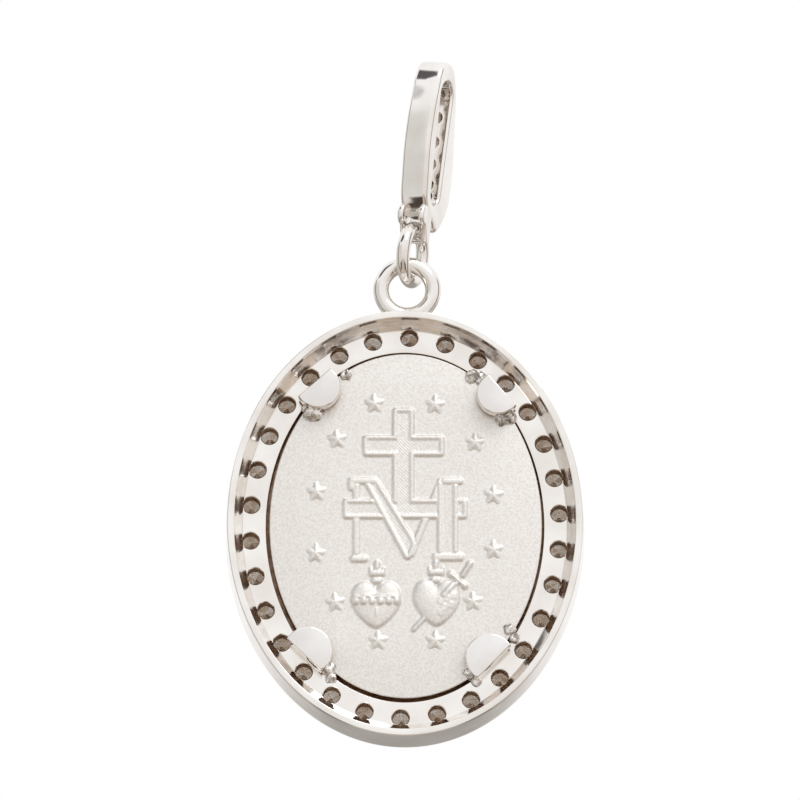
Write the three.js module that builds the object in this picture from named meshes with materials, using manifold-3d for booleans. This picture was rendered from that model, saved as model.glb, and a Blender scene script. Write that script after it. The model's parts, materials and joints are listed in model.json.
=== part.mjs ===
// Religious medal pendant. Millimetres, +Z up, reverse towards -Y, stone-set front towards +Y.
// The origin is the inside top of the bail, where a neck chain bears.
import * as THREE from "three";
import { mergeVertices } from "three/addons/utils/BufferGeometryUtils.js";
import Module from "manifold-3d";

const wasm = await Module();
wasm.setup();

// Driving sizes in millimetres, angles in degrees
const MEDAL = { halfWidth: 7.49, halfHeight: 9.74, thickness: 1.15 };
const RELIEF = { emblem: 0.18, heart: 0.26, star: 0.16, starRadius: 0.6, starNotch: 0.45, root: 0.12 };
const FRAME = {
  ledge: 1.75,
  plate: 1.5,
  rimWall: 0.4,
  rimRise: 1.2,
  cove: 0.42,
  lipReach: 0.5,
  lipThickness: 0.35,
};
const TAB = { radius: 1.2, height: 1.5, recess: 0.1 };
const EYE = { hole: 2.0, wire: 0.9, embed: 0.3, setBack: 1.04, aside: 0.12 };
const HALO_STONE = { diameter: 1.48, table: 0.84, crown: 0.22, girdle: 0.05, pavilion: 0.62, sink: 0.1 };
const BAIL_STONE = { diameter: 1.15, table: 0.66, crown: 0.17, girdle: 0.04, pavilion: 0.48, sink: 0.1 };
const HALO_SETTING = { stoneGap: 0.56, azure: 0.95, beadRadius: 0.2, beadRise: 0.2, startShare: 0.12 };
const BAIL_SETTING = { stoneGap: 0.23, azure: 0.7, beadRadius: 0.13, beadRise: 0.14, startDrop: 1.35 };
const LINK = { meanRadius: 1.5, wire: 0.76, aside: 0.12 };
const BAIL = {
  width: 1.6,
  height: 9.5,
  depth: 4.08,
  topWall: 0.98,
  bottomWall: 1.47,
  nearWall: 1.05,
  openingTop: 1.76,
  openingBottom: 1.32,
  bridge: 0.52,
  rowEnd: 0.83,
};
const CHEEK = { drop: 0.8, bar: 0.4, depth: 0.62, inset: 1.25 };
const CLEARANCE = { medal: 0.25, lip: 0.1, tab: 0.1, stone: 0.06, link: 0.06, eye: 0.1, bead: 0.1 };
const POSE = { yaw: -20, lean: 8, pitch: 5 };
const SIDES = { oval: 64, wire: 8, ring: 20, stone: 8, hole: 10, bead: 5, bail: 40, disc: 12 };
const COVE_TURNS = [30, 60];
const BEAD_TOP_SHARE = 0.62;
const STAR_POINTS = 5;
const ROW_STEPS = 400;

// Heights of the drop, measured from its stone-set front face towards the reverse
const LEVEL = {};
LEVEL.ledge = FRAME.plate;
LEVEL.rim = LEVEL.ledge + FRAME.rimRise;
LEVEL.medalFront = FRAME.lipThickness + CLEARANCE.lip;
LEVEL.medalBack = LEVEL.medalFront + MEDAL.thickness;
LEVEL.tabUnder = LEVEL.medalBack + CLEARANCE.tab;
LEVEL.tabFace = LEVEL.rim - TAB.recess;

// Offsets outwards from the medal's edge
const OFFSET = {};
OFFSET.opening = CLEARANCE.medal;
OFFSET.stones = OFFSET.opening + FRAME.ledge / 2;
OFFSET.rimInside = OFFSET.opening + FRAME.ledge;
OFFSET.outside = OFFSET.rimInside + FRAME.rimWall;

// Raised bars of the emblem: edges as shares of the medal's half width and half height
const EMBLEM_BARS = [
  { piece: "cross stem", left: -0.093, right: 0.071, low: 0.155, high: 0.699 },
  { piece: "cross arms", left: -0.315, right: 0.294, low: 0.412, high: 0.538 },
  { piece: "base bar", left: -0.463, right: 0.466, low: 0.043, high: 0.165 },
  { piece: "thin stem", left: -0.385, right: -0.338, low: -0.198, high: 0.279 },
  { piece: "thin stem foot", left: -0.408, right: -0.275, low: -0.21, high: -0.167 },
  { piece: "thin stem head", left: -0.424, right: -0.213, low: 0.21, high: 0.288 },
  { piece: "thick stem", left: 0.24, right: 0.396, low: -0.198, high: 0.279 },
  { piece: "thick stem head", left: 0.263, right: 0.435, low: 0.244, high: 0.288 },
  { piece: "thick stem foot", left: 0.2, right: 0.439, low: -0.204, high: -0.155 },
];
// Slanting strokes: ends as shares of the half width and half height, width as a share of the half width
const EMBLEM_STROKES = [
  { piece: "thick diagonal", fromX: -0.248, fromY: 0.27, toX: 0.028, toY: -0.19, width: 0.125 },
  { piece: "thin diagonal", fromX: 0.05, fromY: -0.18, toX: 0.245, toY: 0.24, width: 0.045 },
  { piece: "blade", fromX: 0.08, fromY: -0.6, toX: 0.44, toY: -0.255, width: 0.032 },
  { piece: "hilt guard", fromX: 0.405, fromY: -0.235, toX: 0.47, toY: -0.305, width: 0.035 },
  { piece: "left flame", fromX: -0.21, fromY: -0.205, toX: -0.21, toY: -0.35, width: 0.085 },
  { piece: "right flame", fromX: 0.224, fromY: -0.235, toX: 0.224, toY: -0.35, width: 0.075 },
];
const EMBLEM_HEARTS = [
  { piece: "left heart", x: -0.215, top: -0.335, width: 0.37, height: 0.262 },
  { piece: "right heart", x: 0.234, top: -0.325, width: 0.35, height: 0.258 },
];
// Right side of a heart from its tip to its cleft: two arcs of two handles and an end each
const HEART_SIDE = [
  { across: 0.5, up: -0.8 },
  { across: 1.0, up: -0.62 },
  { across: 1.0, up: -0.32 },
  { across: 1.0, up: 0.02 },
  { across: 0.3, up: 0.08 },
  { across: 0.0, up: -0.12 },
];
// Stars lie on an oval ring at these angles, mirrored into the four quarters
const STAR_RING = { halfWidth: 0.675, halfHeight: 0.71, rise: 0.028, angles: [14, 41.5, 71.7] };

// Tabs: angle on the oval, twist from square to it, and how far the straight edge lies past the opening
const TABS = [
  { name: "upper right", at: 48, twist: 0, reach: 0.33 },
  { name: "upper left", at: 128.4, twist: -4, reach: 0.33 },
  { name: "lower left", at: 226.6, twist: 6, reach: 0.38 },
  { name: "lower right", at: 308.7, twist: 0, reach: 0.22 },
];

// Side outline of the bail: shares of its depth, from the near band, and of its height, from the bottom
const BAIL_OUTLINE = [
  { depth: 0.221, height: 0.951 },
  { depth: 0.157, height: 0.899 },
  { depth: 0.125, height: 0.846 },
  { depth: 0.04, height: 0.684 },
  { depth: 0.0, height: 0.482 },
  { depth: 0.061, height: 0.308 },
  { depth: 0.172, height: 0.168 },
  { depth: 0.331, height: 0.037 },
  { depth: 0.539, height: 0.0 },
  { depth: 0.8, height: 0.069 },
  { depth: 0.965, height: 0.19 },
  { depth: 1.0, height: 0.372 },
  { depth: 0.949, height: 0.576 },
  { depth: 0.797, height: 0.898 },
  { depth: 0.64, height: 0.982 },
  { depth: 0.468, height: 1.0 },
  { depth: 0.315, height: 0.984 },
];

const DEGREE = Math.PI / 180;
const POLISHED = { color: 0xe6e2de, roughness: 0.12, metalness: 1 };
const SATIN = { color: 0xdad5cf, roughness: 0.5, metalness: 1 };
const STONE_FINISH = { color: 0xf4f6f8, roughness: 0.05, metalness: 0 };

function solidOf(geometry) {
  for (const name of ["normal", "uv"]) {
    geometry.deleteAttribute(name);
  }
  const merged = mergeVertices(geometry, 1e-4);
  const index = merged.index.array;
  const kept = [];
  for (let i = 0; i < index.length; i += 3) {
    const [a, b, c] = index.slice(i, i + 3);
    if (a !== b && b !== c && c !== a) kept.push(a, b, c);
  }
  const vertProperties = Float32Array.from(merged.attributes.position.array);
  return new wasm.Manifold(new wasm.Mesh({ numProp: 3, vertProperties, triVerts: Uint32Array.from(kept) }));
}

function joined(solids) {
  return solids.reduce((whole, solid) => whole.add(solid));
}

function meshOf(solid, name, finish) {
  const { vertProperties, triVerts } = solid.getMesh();
  const geometry = new THREE.BufferGeometry();
  geometry.setAttribute("position", new THREE.BufferAttribute(vertProperties, 3));
  geometry.setIndex(new THREE.BufferAttribute(triVerts, 1));
  geometry.computeVertexNormals();
  const mesh = new THREE.Mesh(geometry, new THREE.MeshStandardMaterial(finish));
  mesh.name = name;
  return mesh;
}

function prism(shape, low, high, curveSegments) {
  const geometry = new THREE.ExtrudeGeometry(shape, { depth: high - low, bevelEnabled: false, curveSegments });
  geometry.translate(0, 0, low);
  return geometry;
}

function box(width, depth, height, x, y, z) {
  return new THREE.BoxGeometry(width, depth, height).translate(x, y, z);
}

// Turned form about Z from pairs of radius and height that start and end on the axis
function turned(pairs, sides) {
  const points = pairs.map(([radius, height]) => new THREE.Vector2(radius, height));
  return new THREE.LatheGeometry(points, sides).rotateX(Math.PI / 2);
}

function ovalPrism(offset, low, high) {
  const shape = new THREE.Shape();
  shape.absellipse(0, 0, MEDAL.halfWidth + offset, MEDAL.halfHeight + offset, 0, 2 * Math.PI);
  return solidOf(prism(shape, low, high, SIDES.oval));
}

// Ring of one section led round the oval: the section gives offsets from the medal's edge and heights
function ovalRing(section) {
  const stretch = MEDAL.halfHeight - MEDAL.halfWidth;
  const pairs = [...section, section[0]].map(([offset, height]) => [MEDAL.halfWidth + offset, height]);
  const geometry = turned(pairs, SIDES.oval);
  const place = geometry.attributes.position;
  for (let i = 0; i < place.count; i += 1) {
    const radius = Math.hypot(place.getX(i), place.getY(i));
    place.setY(i, place.getY(i) * (1 + stretch / radius));
  }
  return solidOf(geometry);
}

// Round cut stone, table towards -Z, with its girdle sunk below Z = 0
function stoneGeometry(stone) {
  const girdleLow = stone.sink + stone.girdle;
  return turned([
    [0, stone.sink - stone.crown],
    [stone.table / 2, stone.sink - stone.crown],
    [stone.diameter / 2, stone.sink],
    [stone.diameter / 2, girdleLow],
    [0, girdleLow + stone.pavilion],
  ], SIDES.stone);
}

// Seat and drilled hole behind a stone, reaching back to the given height
function seatGeometry(stone, azure, back) {
  const wide = stone.diameter / 2 + CLEARANCE.stone;
  const girdleLow = stone.sink + stone.girdle;
  const fall = stone.pavilion * (1 - azure / stone.diameter);
  return turned([
    [0, -stone.diameter],
    [wide, -stone.diameter],
    [wide, girdleLow],
    [azure / 2, girdleLow + fall + 2 * CLEARANCE.stone],
    [azure / 2, back],
    [0, back],
  ], SIDES.hole);
}

// Raised bead on a face that looks towards -Z
function beadGeometry(radius, rise) {
  return turned([
    [0, -rise],
    [radius * BEAD_TOP_SHARE, -rise],
    [radius, rise],
    [0, rise],
  ], SIDES.bead);
}

function strokeSolid({ fromX, fromY, toX, toY, width }, rise) {
  const from = new THREE.Vector2(fromX * MEDAL.halfWidth, fromY * MEDAL.halfHeight);
  const to = new THREE.Vector2(toX * MEDAL.halfWidth, toY * MEDAL.halfHeight);
  const along = to.clone().sub(from);
  const geometry = box(along.length(), width * MEDAL.halfWidth, rise + RELIEF.root, 0, 0, 0);
  geometry.rotateZ(along.angle());
  const middle = from.add(to).multiplyScalar(0.5);
  geometry.translate(middle.x, middle.y, LEVEL.medalBack + (rise - RELIEF.root) / 2);
  return solidOf(geometry);
}

function barSolid({ left, right, low, high }) {
  const width = (right - left) * MEDAL.halfWidth;
  const height = (high - low) * MEDAL.halfHeight;
  const x = (left + right) / 2 * MEDAL.halfWidth;
  const y = (low + high) / 2 * MEDAL.halfHeight;
  const z = LEVEL.medalBack + (RELIEF.emblem - RELIEF.root) / 2;
  return solidOf(box(width, height, RELIEF.emblem + RELIEF.root, x, y, z));
}

function heartSolid({ x, top, width, height }) {
  const half = width * MEDAL.halfWidth / 2;
  const tall = height * MEDAL.halfHeight;
  const right = HEART_SIDE.map(({ across, up }) => [across * half, up * tall]);
  const tip = [0, -tall];
  const left = [...right.slice(0, -1).reverse(), tip].map(([across, up]) => [-across, up]);
  const shape = new THREE.Shape();
  shape.moveTo(...tip);
  for (const side of [right, left]) {
    shape.bezierCurveTo(...side[0], ...side[1], ...side[2]);
    shape.bezierCurveTo(...side[3], ...side[4], ...side[5]);
  }
  const geometry = new THREE.ExtrudeGeometry(shape, {
    depth: RELIEF.root,
    bevelThickness: RELIEF.heart,
    bevelSize: RELIEF.heart,
    bevelOffset: -RELIEF.heart,
    bevelSegments: 1,
    curveSegments: 4,
  });
  geometry.translate(x * MEDAL.halfWidth, top * MEDAL.halfHeight, LEVEL.medalBack - RELIEF.root);
  return solidOf(geometry);
}

function starSolid(x, y) {
  const tall = RELIEF.star + RELIEF.root;
  const geometry = new THREE.ConeGeometry(1, tall, 2 * STAR_POINTS).rotateX(Math.PI / 2);
  const place = geometry.attributes.position;
  const step = Math.PI / STAR_POINTS;
  for (let i = 0; i < place.count; i += 1) {
    const point = new THREE.Vector2(place.getX(i), place.getY(i));
    const isNotch = Math.round((point.angle() - Math.PI / 2) / step) % 2 !== 0;
    const reach = RELIEF.starRadius * (isNotch ? RELIEF.starNotch : 1);
    place.setXY(i, point.x * reach, point.y * reach);
  }
  geometry.translate(x, y, LEVEL.medalBack + tall / 2 - RELIEF.root);
  return solidOf(geometry);
}

function starSolids() {
  const stars = [];
  for (const angle of STAR_RING.angles) {
    const x = STAR_RING.halfWidth * MEDAL.halfWidth * Math.cos(angle * DEGREE);
    const y = STAR_RING.halfHeight * MEDAL.halfHeight * Math.sin(angle * DEGREE);
    const rise = STAR_RING.rise * MEDAL.halfHeight;
    for (const [sideX, sideY] of [[1, 1], [-1, 1], [-1, -1], [1, -1]]) {
      stars.push(starSolid(sideX * x, sideY * y + rise));
    }
  }
  return stars;
}

function medalSolid() {
  return joined([
    ovalPrism(0, LEVEL.medalFront, LEVEL.medalBack),
    ...EMBLEM_BARS.map(barSolid),
    ...EMBLEM_STROKES.map((stroke) => strokeSolid(stroke, RELIEF.emblem)),
    ...EMBLEM_HEARTS.map(heartSolid),
    ...starSolids(),
  ]);
}

function frameSection() {
  const cove = [];
  for (const turn of COVE_TURNS) {
    cove.push([
      OFFSET.rimInside - FRAME.cove * (1 - Math.sin(turn * DEGREE)),
      LEVEL.ledge + FRAME.cove * (1 - Math.cos(turn * DEGREE)),
    ]);
  }
  return [
    [OFFSET.opening - FRAME.lipReach, 0],
    [OFFSET.opening - FRAME.lipReach, FRAME.lipThickness],
    [OFFSET.opening, FRAME.lipThickness],
    [OFFSET.opening, LEVEL.ledge],
    [OFFSET.rimInside - FRAME.cove, LEVEL.ledge],
    ...cove,
    [OFFSET.rimInside, LEVEL.ledge + FRAME.cove],
    [OFFSET.rimInside, LEVEL.rim],
    [OFFSET.outside, LEVEL.rim],
    [OFFSET.outside, 0],
  ].reverse();
}

// D-shaped tab over the medal's edge, with a soldered foot on the ledge
function tabSolid({ at, twist, reach }) {
  const chord = TAB.height - TAB.radius;
  const start = Math.asin(chord / TAB.radius);
  const shape = new THREE.Shape();
  shape.absarc(0, -chord, TAB.radius, start, Math.PI - start, true);
  const angle = at * DEGREE;
  const across = (MEDAL.halfWidth + OFFSET.opening) * Math.cos(angle);
  const up = (MEDAL.halfHeight + OFFSET.opening) * Math.sin(angle);
  const outward = Math.atan2(Math.sin(angle) / (MEDAL.halfHeight + OFFSET.opening),
    Math.cos(angle) / (MEDAL.halfWidth + OFFSET.opening));
  const place = (low, high) => {
    const geometry = prism(shape, low, high, SIDES.disc);
    geometry.rotateZ(outward - Math.PI / 2 + twist * DEGREE);
    geometry.translate(across + reach * Math.cos(outward), up + reach * Math.sin(outward), 0);
    return solidOf(geometry);
  };
  const foot = place(LEVEL.ledge - RELIEF.root, LEVEL.tabUnder + RELIEF.root);
  const opening = ovalPrism(OFFSET.opening, 0, LEVEL.rim);
  return place(LEVEL.tabUnder, LEVEL.tabFace).add(foot.subtract(opening));
}

function haloPlaces() {
  const curve = new THREE.EllipseCurve(0, 0, MEDAL.halfWidth + OFFSET.stones, MEDAL.halfHeight + OFFSET.stones);
  const pitch = HALO_STONE.diameter + HALO_SETTING.stoneGap;
  const count = Math.floor(curve.getLength() / pitch);
  const placeAt = (share) => {
    const turn = (1.25 - share / count) % 1;
    const point = curve.getPointAt(turn);
    const tangent = curve.getTangentAt(turn);
    return { x: point.x, y: point.y, outX: tangent.y, outY: -tangent.x };
  };
  const numbers = Array.from({ length: count }, (_, i) => i + HALO_SETTING.startShare);
  return { stones: numbers.map(placeAt), gaps: numbers.map((share) => placeAt(share + 0.5)) };
}

const halo = haloPlaces();
const eyeMean = (EYE.hole + EYE.wire) / 2;
const eyeRise = MEDAL.halfHeight + OFFSET.outside + EYE.hole / 2 + EYE.wire - EYE.embed;

function frameSolid() {
  const seats = halo.stones.map(({ x, y }) => {
    return solidOf(seatGeometry(HALO_STONE, HALO_SETTING.azure, LEVEL.rim).translate(x, y, 0));
  });
  const beads = [];
  const seatRadius = HALO_STONE.diameter / 2 + CLEARANCE.bead;
  const halfPitch = (HALO_STONE.diameter + HALO_SETTING.stoneGap) / 2;
  const beadReach = Math.sqrt(Math.max(0, (seatRadius + HALO_SETTING.beadRadius) ** 2 - halfPitch ** 2));
  for (const { x, y, outX, outY } of halo.gaps) {
    for (const side of [-1, 1]) {
      const bead = beadGeometry(HALO_SETTING.beadRadius, HALO_SETTING.beadRise);
      bead.translate(x + side * beadReach * outX, y + side * beadReach * outY, 0);
      beads.push(solidOf(bead));
    }
  }
  const eye = new THREE.TorusGeometry(eyeMean, EYE.wire / 2, SIDES.wire, SIDES.ring);
  eye.translate(EYE.aside, eyeRise, EYE.setBack);
  const plate = ovalRing(frameSection()).subtract(joined(seats));
  return joined([plate, ...TABS.map(tabSolid), ...beads, solidOf(eye)]);
}

function pieceName(kind, number) {
  return kind + "_" + String(number).padStart(2, "0");
}

const openingTall = BAIL.height - BAIL.topWall - BAIL.bottomWall;
const bailNear = -(BAIL.nearWall + BAIL.openingTop / 2);
const bailLow = BAIL.topWall - BAIL.height;
const barLevel = bailLow - CHEEK.drop + CHEEK.bar / 2;
const barDepth = bailNear + CHEEK.inset;
const slotWidth = LINK.wire + 2 * CLEARANCE.link;

// Side outline in the plane of depth and height
function bailCurve() {
  const points = BAIL_OUTLINE.map(({ depth, height }) => {
    return new THREE.Vector3(bailNear + depth * BAIL.depth, bailLow + height * BAIL.height, 0);
  });
  return new THREE.CatmullRomCurve3(points, true);
}

// Turns a prism drawn in depth and height so that its thickness runs across the bail
function acrossBail(geometry) {
  const turn = new THREE.Matrix4().makeBasis(
    new THREE.Vector3(0, 1, 0),
    new THREE.Vector3(0, 0, 1),
    new THREE.Vector3(1, 0, 0),
  );
  return geometry.applyMatrix4(turn);
}

function bailPlaces() {
  const curve = bailCurve();
  const length = curve.getLength();
  const pitch = BAIL_STONE.diameter + BAIL_SETTING.stoneGap;
  let start = 0;
  for (let i = 0; i < ROW_STEPS; i += 1) {
    const point = curve.getPointAt(i / ROW_STEPS);
    const isFar = point.x > BAIL.openingTop / 2;
    if (isFar && point.y < BAIL.topWall - BAIL_SETTING.startDrop) start = i / ROW_STEPS;
  }
  const low = -openingTall - BAIL.rowEnd;
  const places = [];
  for (let walked = 0; walked < length / 2; walked += pitch / 2) {
    const turn = start - walked / length;
    const point = curve.getPointAt(turn);
    const tangent = curve.getTangentAt(turn);
    if (point.y < low) break;
    places.push({ y: point.x, z: point.y, outward: Math.atan2(-tangent.x, tangent.y) });
  }
  const stones = places.filter((_, i) => i % 2 === 0);
  return { stones, gaps: places.filter((_, i) => i % 2 === 1).slice(0, stones.length - 1) };
}

const bailRow = bailPlaces();

// Moves a form that looks towards -Z onto the far band, looking outwards
function ontoFarBand(geometry, { y, z, outward }, across = 0) {
  return geometry.rotateX(Math.PI / 2 + outward).translate(across, y, z);
}

function bailSolid() {
  const outline = new THREE.Shape(bailCurve().getSpacedPoints(SIDES.bail).slice(0, -1));
  const topRadius = BAIL.openingTop / 2;
  const lowRadius = BAIL.openingBottom / 2;
  const opening = new THREE.Path();
  opening.absarc(0, -topRadius, topRadius, Math.PI, 0, true);
  opening.absarc(lowRadius - topRadius, lowRadius - openingTall, lowRadius, 0, Math.PI, true);
  outline.holes.push(opening);
  const band = solidOf(acrossBail(prism(outline, -BAIL.width / 2, BAIL.width / 2, SIDES.hole)));
  const legTop = -openingTall - BAIL.bridge;
  const legTall = legTop - barLevel;
  const legs = box(BAIL.width, CHEEK.depth, legTall, 0, barDepth, barLevel + legTall / 2);
  const foot = new THREE.CylinderGeometry(CHEEK.depth / 2, CHEEK.depth / 2, BAIL.width, SIDES.disc);
  foot.rotateZ(Math.PI / 2).translate(0, barDepth, barLevel);
  const slotTall = legTop - barLevel + CHEEK.depth;
  const slot = box(slotWidth, 2 * BAIL.depth, slotTall, 0, 0, legTop - slotTall / 2);
  const bar = new THREE.CylinderGeometry(CHEEK.bar / 2, CHEEK.bar / 2, BAIL.width - CLEARANCE.link, SIDES.hole);
  bar.rotateZ(Math.PI / 2).translate(0, barDepth, barLevel);
  const drill = BAIL.depth - BAIL.nearWall - BAIL.openingBottom;
  const seats = bailRow.stones.map((place) => {
    return solidOf(ontoFarBand(seatGeometry(BAIL_STONE, BAIL_SETTING.azure, drill), place));
  });
  const beadAcross = BAIL.width / 2 - 2 * BAIL_SETTING.beadRadius;
  const beads = [];
  for (const place of bailRow.gaps) {
    for (const side of [-1, 1]) {
      const bead = beadGeometry(BAIL_SETTING.beadRadius, BAIL_SETTING.beadRise);
      beads.push(solidOf(ontoFarBand(bead, place, side * beadAcross)));
    }
  }
  const body = band.add(solidOf(legs)).add(solidOf(foot)).subtract(solidOf(slot)).add(solidOf(bar));
  return joined([body.subtract(joined(seats)), ...beads]);
}

// The bail and the link hang yawed and leaning on the chain, and the bail also tips forwards
const hanging = new THREE.Group();
hanging.rotation.z = POSE.yaw * DEGREE;
const leaning = new THREE.Group();
leaning.rotation.y = POSE.lean * DEGREE;
hanging.add(leaning);

const bail = new THREE.Group();
bail.rotation.x = POSE.pitch * DEGREE;
bail.add(meshOf(bailSolid(), "bail", POLISHED));
bailRow.stones.forEach((place, i) => {
  const stone = solidOf(ontoFarBand(stoneGeometry(BAIL_STONE), place));
  bail.add(meshOf(stone, pieceName("bail_stone", i + 1), STONE_FINISH));
});
leaning.add(bail);

// The link turns on the cross bar between the cheeks
const barPivot = new THREE.Vector3(0, barDepth, barLevel).applyEuler(bail.rotation);
const linkFall = LINK.meanRadius - LINK.wire / 2 - CLEARANCE.link - CHEEK.bar / 2;
const link = new THREE.TorusGeometry(LINK.meanRadius, LINK.wire / 2, SIDES.wire, SIDES.ring);
link.rotateY(Math.PI / 2).translate(0, 0, -linkFall);
const jumpRing = meshOf(solidOf(link), "jump_ring", POLISHED);
jumpRing.position.copy(barPivot);
leaning.add(jumpRing);

// The drop hangs upright, its eye and the link's lowest wire both a little to the right of its middle
const eyePivot = barPivot.clone();
eyePivot.z -= linkFall + LINK.meanRadius;
hanging.updateMatrixWorld(true);
eyePivot.applyMatrix4(leaning.matrixWorld);
const eyeFall = EYE.hole / 2 - LINK.wire / 2 - CLEARANCE.eye;
const drop = new THREE.Group();
drop.rotation.x = Math.PI / 2;
drop.position.set(eyePivot.x - EYE.aside - LINK.aside, eyePivot.y + EYE.setBack,
  eyePivot.z - eyeFall - eyeRise);
drop.add(meshOf(frameSolid(), "halo_frame", POLISHED));
drop.add(meshOf(medalSolid(), "medal", SATIN));
halo.stones.forEach(({ x, y }, i) => {
  const stone = solidOf(stoneGeometry(HALO_STONE).translate(x, y, 0));
  drop.add(meshOf(stone, pieceName("halo_stone", i + 1), STONE_FINISH));
});

const pendant = new THREE.Group();
pendant.add(hanging, drop);
export default pendant;
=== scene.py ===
"""Looks of a religious medal pendant in rhodium-plated white gold, shown from its reverse.

Each sub-assembly is a class that holds its sizes in millimetres and shapes its pieces in its own frame.
settle() then moves a finished mesh into the part's frame, in metres, so that its object sits at the origin.
"""
import itertools
import json
import logging
import math
from collections.abc import Iterator
from contextlib import contextmanager
from dataclasses import dataclass, field
from enum import Enum, IntEnum

import bmesh
import bpy
import numpy as np
from bpy.types import Camera, Light, Material, Mesh, MeshPolygon, Node, NodeSocket, NodeTree, Object
from mathutils import Matrix, Vector, noise


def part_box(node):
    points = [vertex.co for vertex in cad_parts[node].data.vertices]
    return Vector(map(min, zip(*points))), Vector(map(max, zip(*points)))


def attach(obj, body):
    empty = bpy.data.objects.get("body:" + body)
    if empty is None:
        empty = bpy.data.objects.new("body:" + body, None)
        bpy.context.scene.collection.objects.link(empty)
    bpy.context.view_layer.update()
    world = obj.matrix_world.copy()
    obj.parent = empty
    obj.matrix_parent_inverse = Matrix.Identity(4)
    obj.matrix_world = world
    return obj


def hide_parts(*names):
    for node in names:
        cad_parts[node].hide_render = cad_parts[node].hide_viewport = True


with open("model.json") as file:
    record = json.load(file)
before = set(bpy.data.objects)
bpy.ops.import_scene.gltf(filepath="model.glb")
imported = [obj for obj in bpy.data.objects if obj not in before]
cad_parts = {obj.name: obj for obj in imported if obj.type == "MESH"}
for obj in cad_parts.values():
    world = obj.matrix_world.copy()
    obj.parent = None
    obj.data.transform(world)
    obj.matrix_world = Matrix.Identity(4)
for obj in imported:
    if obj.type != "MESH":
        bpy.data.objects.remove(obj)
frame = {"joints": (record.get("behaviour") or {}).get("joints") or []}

log = logging.getLogger("pendant")
Pair = tuple[float, float]

MM = 0.001
SHARP = math.radians(32)
FLAT = 0.97
FACE_ON = 0.99
QUARTER = np.radians([0, 22.5, 45, 67.5, 90])
UPRIGHT = Matrix(((0, 0, 1), (1, 0, 0), (0, 1, 0))).to_4x4()


class Body(Enum):
    """The bodies that a piece can ride on."""

    BAIL = "bail"
    LINK = "link"
    DROP = "drop"


class Slot(Enum):
    """The record's material slots."""

    POLISHED = "polished_white_gold"
    SATIN = "satin_white_gold"
    STONE = "cut_stone"


class Skin(IntEnum):
    """The numbers of a metal piece's materials."""

    MIRROR = 0
    # Drill marks, and a brown tone that is painted shade of holes and crevices
    DRILLED = 1
    FILED = 2
    BURNISHED = 3
    SOLDER = 4



def linear(hex_colour: str) -> tuple[float, float, float, float]:
    """Turns an sRGB hex colour such as "e6e2de" into the linear colour that a shader takes."""
    parts = [int(hex_colour[i:i + 2], 16) / 255 for i in (0, 2, 4)]
    bent = [p / 12.92 if p <= 0.04045 else ((p + 0.055) / 1.055) ** 2.4 for p in parts]
    return (*bent, 1.0)


def feed(node: Node, inputs: dict) -> Node:
    """Sets or links inputs of a node.

    Args:
        node: A node of a shader or geometry tree.
        inputs: By the input's name or number: a fixed value, a socket, or a node whose first output is meant.

    Returns:
        The same node.
    """
    for key, source in inputs.items():
        if isinstance(source, Node):
            source = source.outputs[0]
        if isinstance(source, NodeSocket):
            node.id_data.links.new(source, node.inputs[key])
        else:
            node.inputs[key].default_value = source
    return node


def add_node(tree: NodeTree, kind: str, inputs: dict | None = None, **settings: object) -> Node:
    """Adds one node to a shader or geometry tree.

    Args:
        tree: The tree that gets the node.
        kind: The node's type name.
        inputs: What goes into its inputs, as feed() takes it.
        **settings: Properties of the node itself.

    Returns:
        The new node.
    """
    made = tree.nodes.new(kind)
    for name, setting in settings.items():
        setattr(made, name, setting)
    return feed(made, inputs or {})


def colour_ramp(tree: NodeTree, source: Node | NodeSocket, stops: list) -> Node:
    """Adds a colour ramp that source drives. Each stop is a place from 0 to 1 and an sRGB hex colour."""
    ramp = add_node(tree, "ShaderNodeValToRGB", {"Fac": source})
    elements = ramp.color_ramp.elements
    while len(elements) < len(stops):
        elements.new(0.5)
    for element, (place, hex_colour) in zip(elements, stops):
        element.position = place
        element.color = linear(hex_colour)
    return ramp


def noise_node(tree: NodeTree, size: float, detail: float = 2.0) -> NodeSocket:
    """Adds noise on Object coordinates whose pattern repeats about every size millimetres."""
    place = add_node(tree, "ShaderNodeTexCoord").outputs["Object"]
    scaled = {"Scale": 1 / (size * MM), "Detail": detail, "Vector": place}
    return add_node(tree, "ShaderNodeTexNoise", scaled).outputs["Fac"]


def new_material(name: str) -> tuple[Material, NodeTree, Node]:
    """Makes a material and gives it with its tree and its shader."""
    made = bpy.data.materials.new(name)
    made.use_nodes = True
    return made, made.node_tree, made.node_tree.nodes["Principled BSDF"]


@dataclass(frozen=True)
class GoldFinish:
    """A worked surface of white gold.

    Colour wanders between two tones over wander millimetres. Roughness runs between its two limits over
    the same patches. The surface is broken up by grain of the given size and depth, and by a slower wave.
    """

    name: str
    light: str
    dark: str
    wander: float
    roughness: Pair
    grain: float
    grain_depth: float
    wave: float
    wave_depth: float

    def material(self) -> Material:
        """Builds the material of this finish."""
        made, tree, shader = new_material(self.name)
        patches = noise_node(tree, self.wander, 3.0)
        low, high = self.roughness
        rough = add_node(tree, "ShaderNodeMapRange", {"Value": patches, "To Min": low, "To Max": high})
        waved = add_node(tree, "ShaderNodeBump", {
            "Strength": 1.0, "Distance": self.wave_depth * MM, "Height": noise_node(tree, self.wave, 1.0)})
        grained = add_node(tree, "ShaderNodeBump", {
            "Strength": 1.0, "Distance": self.grain_depth * MM, "Height": noise_node(tree, self.grain),
            "Normal": waved})
        tone = colour_ramp(tree, patches, [(0.35, self.dark), (0.62, self.light)])
        feed(shader, {"Metallic": 1.0, "Base Color": tone, "Roughness": rough, "Normal": grained})
        return made


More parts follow.
